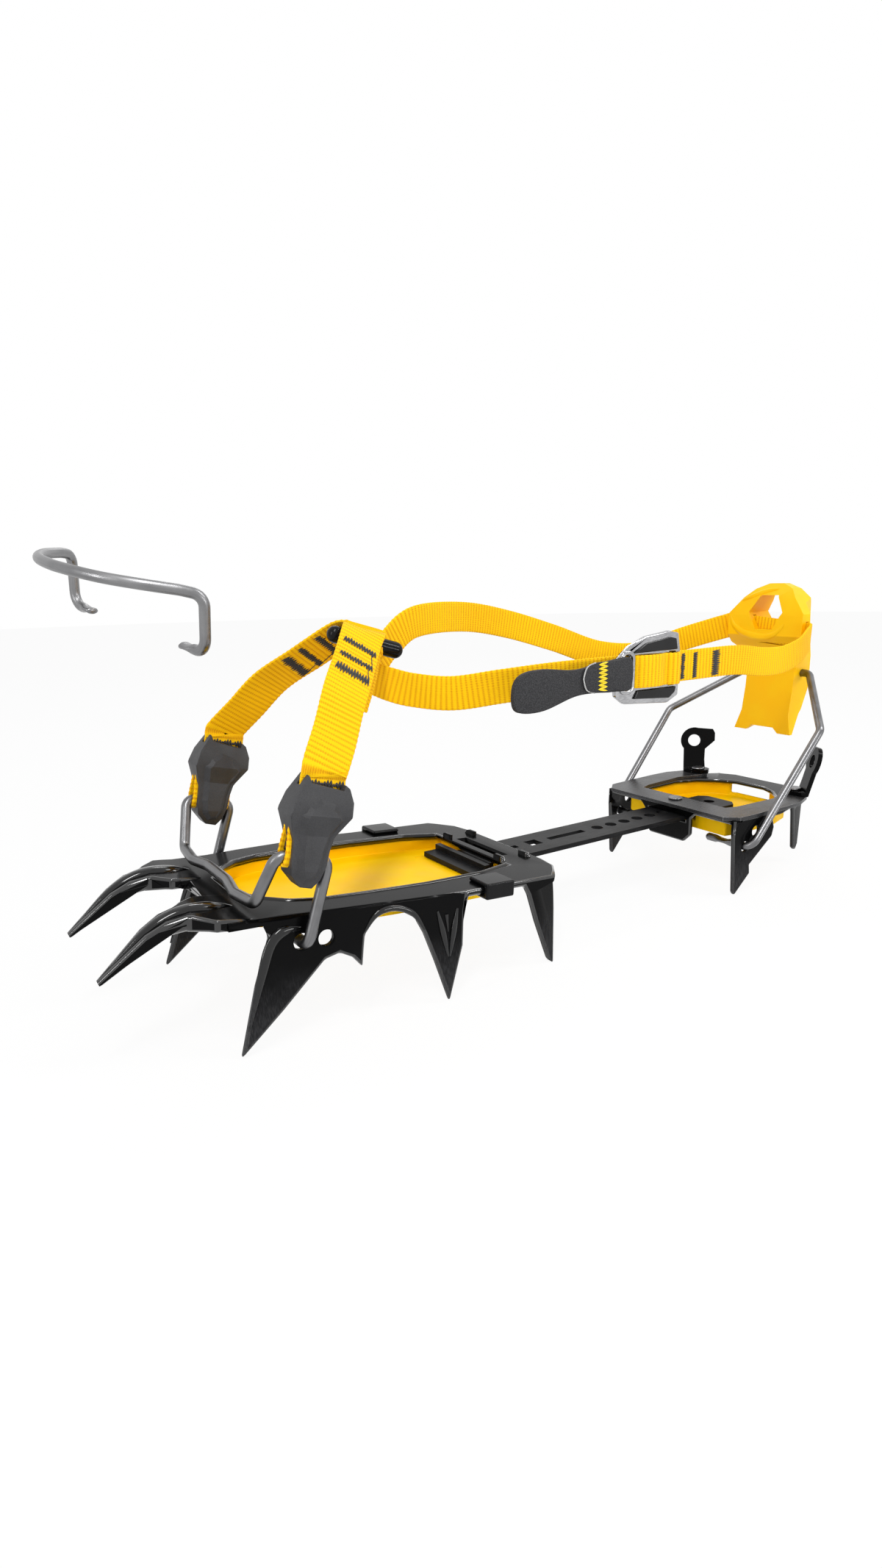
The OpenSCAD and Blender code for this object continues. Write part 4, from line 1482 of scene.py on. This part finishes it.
@dataclass
class AnkleStrap:
    """The long strap from the ring round the near side, through the lever and back on the far side."""

    width: float = 12.0
    rib: float = 1.75
    tunnel: Flat = (-150.0, 111.5)
    lean: float = 5.0
    near_side: tuple[Point, ...] = (
        (70.5, 0.0, 105.0), (68.0, 5.0, 103.5), (62.0, 11.0, 101.5), (52.0, 21.0, 100.5), (38.0, 30.0, 102.5),
        (20.0, 35.5, 104.0), (-2.0, 37.7, 104.5), (-25.0, 38.4, 104.5), (-50.0, 38.4, 104.5),
        (-75.0, 38.9, 104.6), (-96.0, 36.7, 102.4), (-113.0, 34.0, 101.9), (-130.0, 30.3, 104.0),
        (-141.0, 26.4, 107.0), (-148.0, 23.4, 109.0),
    )
    far_side: tuple[Point, ...] = (
        (-148.0, -23.6, 112.6), (-140.0, -29.0, 110.0), (-127.0, -34.0, 106.5), (-104.0, -39.1, 100.5),
        (-76.0, -40.1, 102.5), (-46.0, -39.1, 111.5), (-17.0, -36.0, 119.0), (12.0, -28.0, 123.5),
        (44.0, -14.0, 123.5), (58.0, -9.5, 117.0), (66.0, -6.5, 110.0), (70.5, -3.2, 105.5),
    )
    tacks: Outline = ((-43.6, 1.1), (-50.6, 1.3), (-62.2, 2.2))
    """The bar tacks: X and half their width."""
    tack_spot: Flat = (39.1, 104.5)
    tack_row: Point = (5.0, 0.42, 0.1)
    bend: tuple[Point, Point] = ((74.5, 0.0, 113.0), (48.0, 0.0, 108.0))

    def line(self) -> list[Vector]:
        """The strap's route.

        Returns:
            The route's points.
        """
        x, z = self.tunnel
        slope = math.tan(math.radians(self.lean))
        inside = [(x, y, z - y * slope) for y in (20.8, 13.0, -13.0, -20.8)]
        return smooth([*self.near_side, *inside, *self.far_side])

    def build(self) -> None:
        """Builds the strap and its bar tacks."""
        web = Webbing(
            "ankle_strap_web", self.line(), lambda share: Z_AXIS, self.width, Body.ANKLE, ("ankle_strap",),
            rib=self.rib,
        )
        strap, route = web.build()
        thread = Piece("ankle_strap_seams")
        for x, reach in self.tacks:
            row = route.nearest((x, *self.tack_spot))
            for face in (1.0, -1.0):
                Seam(thread, route, web.thick * 0.5 * face).zigzag(row, reach, *self.tack_row)
        thread.finish(BLACK_THREAD, Body.ANKLE, Slot.WEBBING)
        bend_between(strap, Body.HARNESS, Body.ANKLE, *self.bend)


@dataclass
class Connector:
    """A moulded connector with faceted shields and the strap's loop round the wire."""

    side: int
    shift: float = 1.1
    web: float = 14.2
    sunk: float = 0.9
    thick: float = 0.8
    rise: float = 1.5
    facet: float = 1.9
    brow: Point = (14.0, 0.5, 0.85)
    """Facets above this height and this far out lie this much lower."""
    cuts: tuple[float, ...] = (-3.0, 2.0, 7.5, 13.6)
    """Heights at which the facets fold with the body under them."""
    halves: Outline = ((-9.0, 3.0), (-2.0, 4.5), (8.0, 3.7), (14.0, 5.0), (25.6, 3.0))
    """Half the body's thickness at heights above the wire."""
    shield: Outline = (
        (6.2, 13.2), (3.9, 16.4), (0.3, 18.9), (-4.8, 17.4), (-8.2, 12.8), (-5.4, 7.6), (-4.2, 3.2),
        (-3.7, -2.0), (-1.8, -6.4), (1.6, -7.2), (4.2, -4.4), (5.3, 0.5), (5.2, 5.6),
    )
    loop: Outline = ((0.9, 12.0), (1.5, 8.0), (2.3, 3.5), (2.6, 0.4), (1.9, -1.9))
    loop_end: float = -2.7
    loop_thick: float = 1.3
    loop_rib: float = 1.6
    edge: float = 0.7

    def place(self) -> Matrix:
        """Where the connector's own coordinates lie: X along the wire, Y outwards, Z up."""
        mirror = Matrix.Diagonal((1.0, float(self.side), 1.0, 1.0))
        return mirror @ moved(*STRETCH) @ turned(0.0, -STRETCH_TILT, 0.0)

    def half_thickness(self, z: float) -> float:
        """Finds half the body's thickness.

        Args:
            z: Height above the wire.

        Returns:
            The half thickness there.
        """
        for (z0, y0), (z1, y1) in zip(self.halves, self.halves[1:]):
            if z <= z1:
                return y0 + (y1 - y0) * (z - z0) / (z1 - z0)
        return self.halves[-1][1]

    def build_shields(self, body: Body, name: str) -> None:
        """Raised facets on both faces.

        Args:
            body: The body that they ride on.
            name: The pieces' name.
        """
        piece = Piece(f"connector_{name}_shields")
        high, out, drop = self.brow
        for face in (1.0, -1.0):
            _, lid = piece.slab(self.shield, -self.sunk, self.thick)
            lid[0].normal_update()
            if lid[0].normal.z < 0.0:
                bmesh.ops.reverse_faces(piece.mesh, faces=lid)
            bmesh.ops.inset_region(piece.mesh, faces=lid, thickness=self.facet, depth=self.rise)
            own = {v for v in piece.mesh.verts if not v[piece.along]}
            edges = {edge for vert in own for edge in vert.link_edges}
            faces = {near for vert in own for near in vert.link_faces}
            geometry = [*own, *edges, *faces]
            for cut in self.cuts:
                made = bmesh.ops.bisect_plane(
                    piece.mesh, geom=geometry, plane_co=(0.0, cut, 0.0), plane_no=Y_AXIS, dist=1e-4
                )
                geometry = [g for g in {*geometry, *made["geom"], *made["geom_cut"]} if g.is_valid]
            for vert in set(only(bmesh.types.BMVert, geometry)):
                x, z, lift = vert.co
                slope = drop if lift > out and z > high else 0.0
                vert.co = self.place() @ Vector((x, face * (self.half_thickness(z) + lift - slope), z))
                vert[piece.along] = 1.0
        piece.finish(CONNECTOR, body, Slot.RUBBER, (), 8.0)

    def build(self) -> None:
        """Builds and dresses the connector."""
        name, body = SIDES[self.side]
        soften(f"connector_{name}", CONNECTOR, Slot.RUBBER, self.edge)
        self.build_shields(body, name)
        line = [*self.loop, (0.0, self.loop_end), *((-y, z) for y, z in reversed(self.loop))]
        place = self.place()
        route = smooth([place @ Vector((self.shift, y, z)) for y, z in line], 10)
        across = (place.to_3x3() @ X_AXIS).normalized()
        loop = Webbing(
            f"connector_{name}_loop", route, lambda share: across, self.web, body, (), self.loop_thick,
            self.loop_rib,
        )
        loop.build()


@dataclass
class Lever:
    """The heel lever with the soft lip under its finger hole."""

    lip: Outline = (
        (-19.2, 117.8), (-17.0, 113.6), (-12.0, 110.4), (-5.4, 108.8), (1.2, 108.6), (7.0, 110.6),
        (11.0, 114.6),
    )
    lip_width: float = 3.6
    brow: Outline = ((-14.5, 125.5), (-9.0, 127.6), (-3.0, 129.8), (2.5, 130.8))
    brow_width: float = 2.6
    rise: float = 0.8
    in_front: float = -120.0
    taper: Flat = (0.6, 0.2)
    """A rib's width runs from zero this many points before its first, over this many more than it has."""
    edge: float = 1.3
    edge_steps: int = 4

    def build(self) -> None:
        """Builds and dresses the lever."""
        soften("heel_lever", LEVER, Slot.PLASTIC, self.edge, self.edge_steps)
        piece = Piece("heel_lever_lip")
        for line, wide in ((self.lip, self.lip_width), (self.brow, self.brow_width)):
            spots = laid_on("heel_lever", [(self.in_front, y, z) for y, z in line], -X_AXIS)
            count = len(spots)
            before, more = self.taper
            widths = [wide * math.sin(math.pi * (i + before) / (count + more)) for i in range(count)]
            piece.ridge(spots, X_AXIS, widths, self.rise, Matrix.Identity(4))
        piece.finish(LEVER, Body.LEVER, Slot.PLASTIC)


def upright(y: float) -> Matrix:
    """Place of a plate that stands in the XZ plane, with its thickness towards +Y."""
    return Matrix(((1.0, 0.0, 0.0, 0.0), (0.0, 0.0, 1.0, y), (0.0, 1.0, 0.0, 0.0), (0.0, 0.0, 0.0, 1.0)))


@dataclass
class Buckle:
    """The steel buckle plate, its inlays, the strap's folds and the pull tab."""

    middle: float = 104.5
    web: float = 12.0
    lip_y: float = 41.8
    lip_x: Flat = (-13.4, -7.6)
    lip_half: float = 7.2
    lip_wire: float = 1.8
    lip_bend: float = 2.4
    tab_back: float = 41.95
    tab_thick: float = 2.0
    tab_edge: float = 0.5
    flap_thick: float = 1.3
    flap_edge: float = 0.45
    flap_sunk: float = 0.15
    fold: Outline = (
        (-39.6, 39.9), (-38.4, 41.2), (-37.0, 42.9), (-35.2, 43.7), (-32.6, 43.5), (-30.6, 42.2),
        (-29.4, 42.1), (-28.2, 42.7), (-25.0, 43.7), (-20.5, 43.8), (-16.8, 43.3), (-14.9, 42.3),
        (-14.3, 40.9),
    )
    """The strap's folded-back end over the plate, in X and Y."""
    paddle: Outline = (
        (-10.4, 99.4), (-10.4, 109.6), (-2.0, 109.8), (8.0, 108.5), (17.0, 107.6), (30.0, 108.8),
        (39.0, 108.0), (43.0, 104.4), (43.2, 97.4), (39.6, 94.8), (30.0, 94.8), (17.0, 98.2), (8.0, 98.8),
        (-2.0, 98.4),
    )
    flap: Outline = (
        (-9.6, 99.3), (-9.6, 109.7), (-2.0, 109.7), (8.0, 109.5), (11.8, 108.2), (13.2, 105.0), (13.2, 103.6),
        (11.8, 100.4), (8.0, 99.1), (-2.0, 99.2),
    )
    seam: tuple[Flat, Flat] = ((4.6, 2.1), (99.5, 10.0))
    """The zigzag's middle and reach in X, and its start and length in Z."""
    strokes: int = 14
    stitch: float = 0.75
    hem: Flat = (0.5, 0.6)
    hem_y: float = 0.75
    seam_y: float = 1.2
    fold_thick: float = 1.3
    fold_rib: float = 1.75
    plate_edge: float = 0.9
    inlay_edge: float = 0.7
    edge_steps: int = 4

    def build_tab(self) -> None:
        """The paddle, its folded flap, the pale edge and the zigzag seam."""
        outer = self.tab_back + self.tab_thick
        paddle = Piece("pull_tab_paddle")
        paddle.plate(closed(self.paddle), self.tab_thick, upright(self.tab_back), self.tab_edge)
        paddle.plate(closed(self.flap), self.flap_thick, upright(outer - self.flap_sunk), self.flap_edge)
        paddle.finish(TAB, Body.TAB, Slot.RUBBER, ("pull_tab",), 50.0)
        rim = Piece("pull_tab_edge")
        line = smooth([(x, outer + self.hem_y, z) for x, z in self.flap[3:9]], 6)
        rim.sweep(Route.carried(line, Y_AXIS, 0.5).frames(), oval(*self.hem, 8))
        rim.finish(EDGE_THREAD, Body.TAB, Slot.RUBBER)
        seam = Piece("pull_tab_seam")
        (middle, reach), (start, length) = self.seam
        y = outer + self.seam_y
        ends = [
            Vector((middle + (reach if k % 2 else -reach), y, start + length * k / self.strokes))
            for k in range(self.strokes + 1)
        ]
        seam.sew(ends, self.stitch)
        seam.finish(YELLOW_THREAD, Body.TAB, Slot.RUBBER)

    def build_slot_lip(self) -> None:
        """Rounded steel lip round the front slot."""
        (x0, x1), y, half = self.lip_x, self.lip_y, self.lip_half
        corners = [(x0, 0.0), (x0, half), (x1, half), (x1, -half), (x0, -half), (x0, 0.0)]
        line = rounded([(x, y, self.middle + z) for x, z in corners], self.lip_bend, 6)
        piece = Piece("buckle_slot_ring")
        piece.sweep(Route.carried(line, Y_AXIS, 0.6).frames(), oval(self.lip_wire, self.lip_wire, 12))
        piece.finish(BUCKLE, Body.ANKLE, Slot.POLISHED)

    def build(self) -> None:
        """Builds and dresses the buckle."""
        soften("buckle_plate", BUCKLE, Slot.POLISHED, self.plate_edge, self.edge_steps)
        soften("buckle_inlays", INLAY, Slot.INLAY, self.inlay_edge, self.edge_steps)
        self.build_slot_lip()
        line = smooth([(x, y, self.middle) for x, y in self.fold], 8)
        fold = Webbing(
            "strap_fold", line, lambda share: Z_AXIS, self.web, Body.ANKLE, ("strap_keeper",),
            self.fold_thick, self.fold_rib,
        )
        fold.build()
        self.build_tab()


def wires() -> list[BentWire]:
    """The three bent wires.

    Returns:
        The heel bail, the strap bail and the spare toe bail.
    """
    heel = BentWire(
        "heel_bail_wire", 3.5,
        [(-91.475, 18.0, 21.903), (-91.475, 41.65, 21.903), (-132.3, 43.2, 69.8), (-160.0, 17.3, 91.0)],
        Body.HEEL_WIRE, "heel_bail",
    )
    stretch = [tuple(Vector(STRETCH) + STRETCH_WAY * d) for d in (-7.6, 9.5)]
    strap = BentWire(
        "strap_bail_wire", 3.7,
        [
            (120.879, 29.0, 31.856), (120.879, 41.8, 31.856), *stretch,
            (133.6, 33.5, 46.0), (134.8, 20.0, 45.4), (133.1, 9.0, 46.0),
        ],
        Body.HARNESS, "strap_bail", bend=3.6, flat_at=4.0, flat_half=2.6,
    )
    bow = smooth(
        [(6.2, 37.8, 1.5), (15.2, 30.66, 2.7), (22.2, 21.0, 3.5), (26.2, 10.5, 4.1), (27.4, 0.0, 4.2)], 8
    )
    spare = BentWire(
        "spare_toe_bail_wire", 3.7,
        [(0.0, 29.0, -18.7), (0.0, 42.0, -18.7), (0.0, 42.0, 0.0), *(tuple(p) for p in bow[:-1])],
        Body.SPARE, "toe_bail", flat_at=3.0, flat_half=2.8, finish=BRIGHT_WIRE,
        place=moved(138.6, -46.9, 142.8) @ turned(-10.4, 3.15, 15.2),
    )
    return [heel, strap, spare]


@dataclass
class Studio:
    """White background, pale floor, soft lamps and the photograph's camera."""

    azimuth: float = 147.196
    elevation: float = 14.522
    roll: float = -1.16
    focal_px: float = 1150.01
    centre_px: Flat = (581.28, 1084.91)
    photo_px: tuple[int, int] = (1200, 2133)
    spot: Point = (218.0, 260.86, 139.03)
    sensor_mm: float = 36.0
    fill: float = 0.52
    """Strength of the background where it isn't seen."""
    floor_radius: float = 3.0
    floor_colour: Colour = (0.86, 0.86, 0.86)
    floor_glow: float = 0.93
    """How much of the floor glows white where it is seen, so that its shadow stays soft."""
    lamps: tuple[tuple[str, Point, Point, Flat, float], ...] = (
        ("key", (0.32, 0.3, 0.75), (0.0, 0.0, 0.05), (0.09, 0.4), 3.2),
        ("shoulder", (-0.42, 0.32, 0.66), (0.0, 0.0, 0.04), (0.06, 0.5), 1.9),
        ("face", (-0.32, 0.85, 0.16), (0.03, 0.0, 0.03), (0.4, 0.05), 1.5),
        ("rear", (-0.3, -0.6, 0.7), (0.0, 0.0, 0.05), (0.4, 0.03), 0.8),
        ("toe", (0.8, 0.1, 0.35), (0.1, 0.0, 0.04), (0.025, 0.4), 1.0),
    )
    """Name, place, aim, width and height in metres, and power in watts."""

    def build_camera(self) -> None:
        """Sets up the camera that was fitted to the photograph."""
        a, e, r = (math.radians(v) for v in (self.azimuth, self.elevation, self.roll))
        back = Vector((math.sin(a) * math.cos(e), -math.cos(a) * math.cos(e), math.sin(e)))
        right = Z_AXIS.cross(back).normalized()
        up = back.cross(right)
        x = right * math.cos(r) + up * math.sin(r)
        y = up * math.cos(r) - right * math.sin(r)
        wide, tall = self.photo_px
        lens = bpy.data.cameras.new("photo_camera")
        lens.sensor_width = self.sensor_mm
        lens.lens = self.focal_px / tall * self.sensor_mm
        lens.shift_x = (wide / 2.0 - self.centre_px[0]) / tall
        lens.shift_y = (self.centre_px[1] - tall / 2.0) / tall
        lens.clip_start = 0.01
        camera = add_object("photo_camera", lens)
        camera.matrix_world = placed(x, y, back, Vector(self.spot) * MM)
        bpy.context.scene.camera = camera

    def build_world(self) -> None:
        """White where it is seen, a plain fill light elsewhere."""
        world = bpy.data.worlds.new("studio")
        world.use_nodes = True
        bpy.context.scene.world = world
        nodes = Nodes(world.node_tree)
        strength = nodes.seen() * (1.0 - self.fill) + self.fill
        shade = nodes.add("ShaderNodeBackground", {}, {"Color": WHITE, "Strength": strength})
        output = nodes.tree.nodes.new("ShaderNodeOutputWorld")
        nodes.plug(output.inputs["Surface"], shade)

    def build_floor(self) -> None:
        """A pale floor that keeps a soft shadow."""
        shape = bmesh.new()
        bmesh.ops.create_circle(shape, cap_ends=True, segments=64, radius=self.floor_radius)
        data = bpy.data.meshes.new("studio_floor")
        shape.to_mesh(data)
        shape.free()
        floor = add_object("studio_floor", data)
        shader = Shader("studio_floor")
        glow = shader.add("ShaderNodeEmission", {}, {"Color": WHITE, "Strength": 1.0})
        shader.dress(Base_Color=self.floor_colour, Roughness=0.9)
        share = shader.seen() * self.floor_glow
        surface = Signal(shader, shader.surface.outputs["BSDF"])
        mixed = shader.add("ShaderNodeMixShader", {}, {0: share, 1: surface, 2: glow})
        shader.plug(shader.output.inputs["Surface"], mixed)
        data.materials.append(shader.material)

    def build(self) -> None:
        """Sets up camera, background, floor and lamps."""
        bpy.context.scene.view_settings.view_transform = "Standard"
        self.build_camera()
        self.build_world()
        self.build_floor()
        for name, spot, aim, size, power in self.lamps:
            light = bpy.data.lights.new(name, "AREA")
            light.shape = "RECTANGLE"
            light.size, light.size_y = size
            light.energy = power
            lamp = add_object(name, light)
            lamp.location = spot
            lamp.rotation_euler = (Vector(aim) - Vector(spot)).to_track_quat("-Z", "Y").to_euler()


def main() -> None:
    """Builds the crampon's looks in order."""
    logging.basicConfig(level=logging.INFO, format="%(message)s")
    Studio().build()
    FrontSection().build()
    HeelSection().build()
    for wire in wires():
        wire.build()
    Lever().build()
    for side in SIDES:
        Connector(side).build()
    FrontStraps().build()
    AnkleStrap().build()
    Buckle().build()
    bpy.context.view_layer.update()


if __name__ == "__main__":
    main()
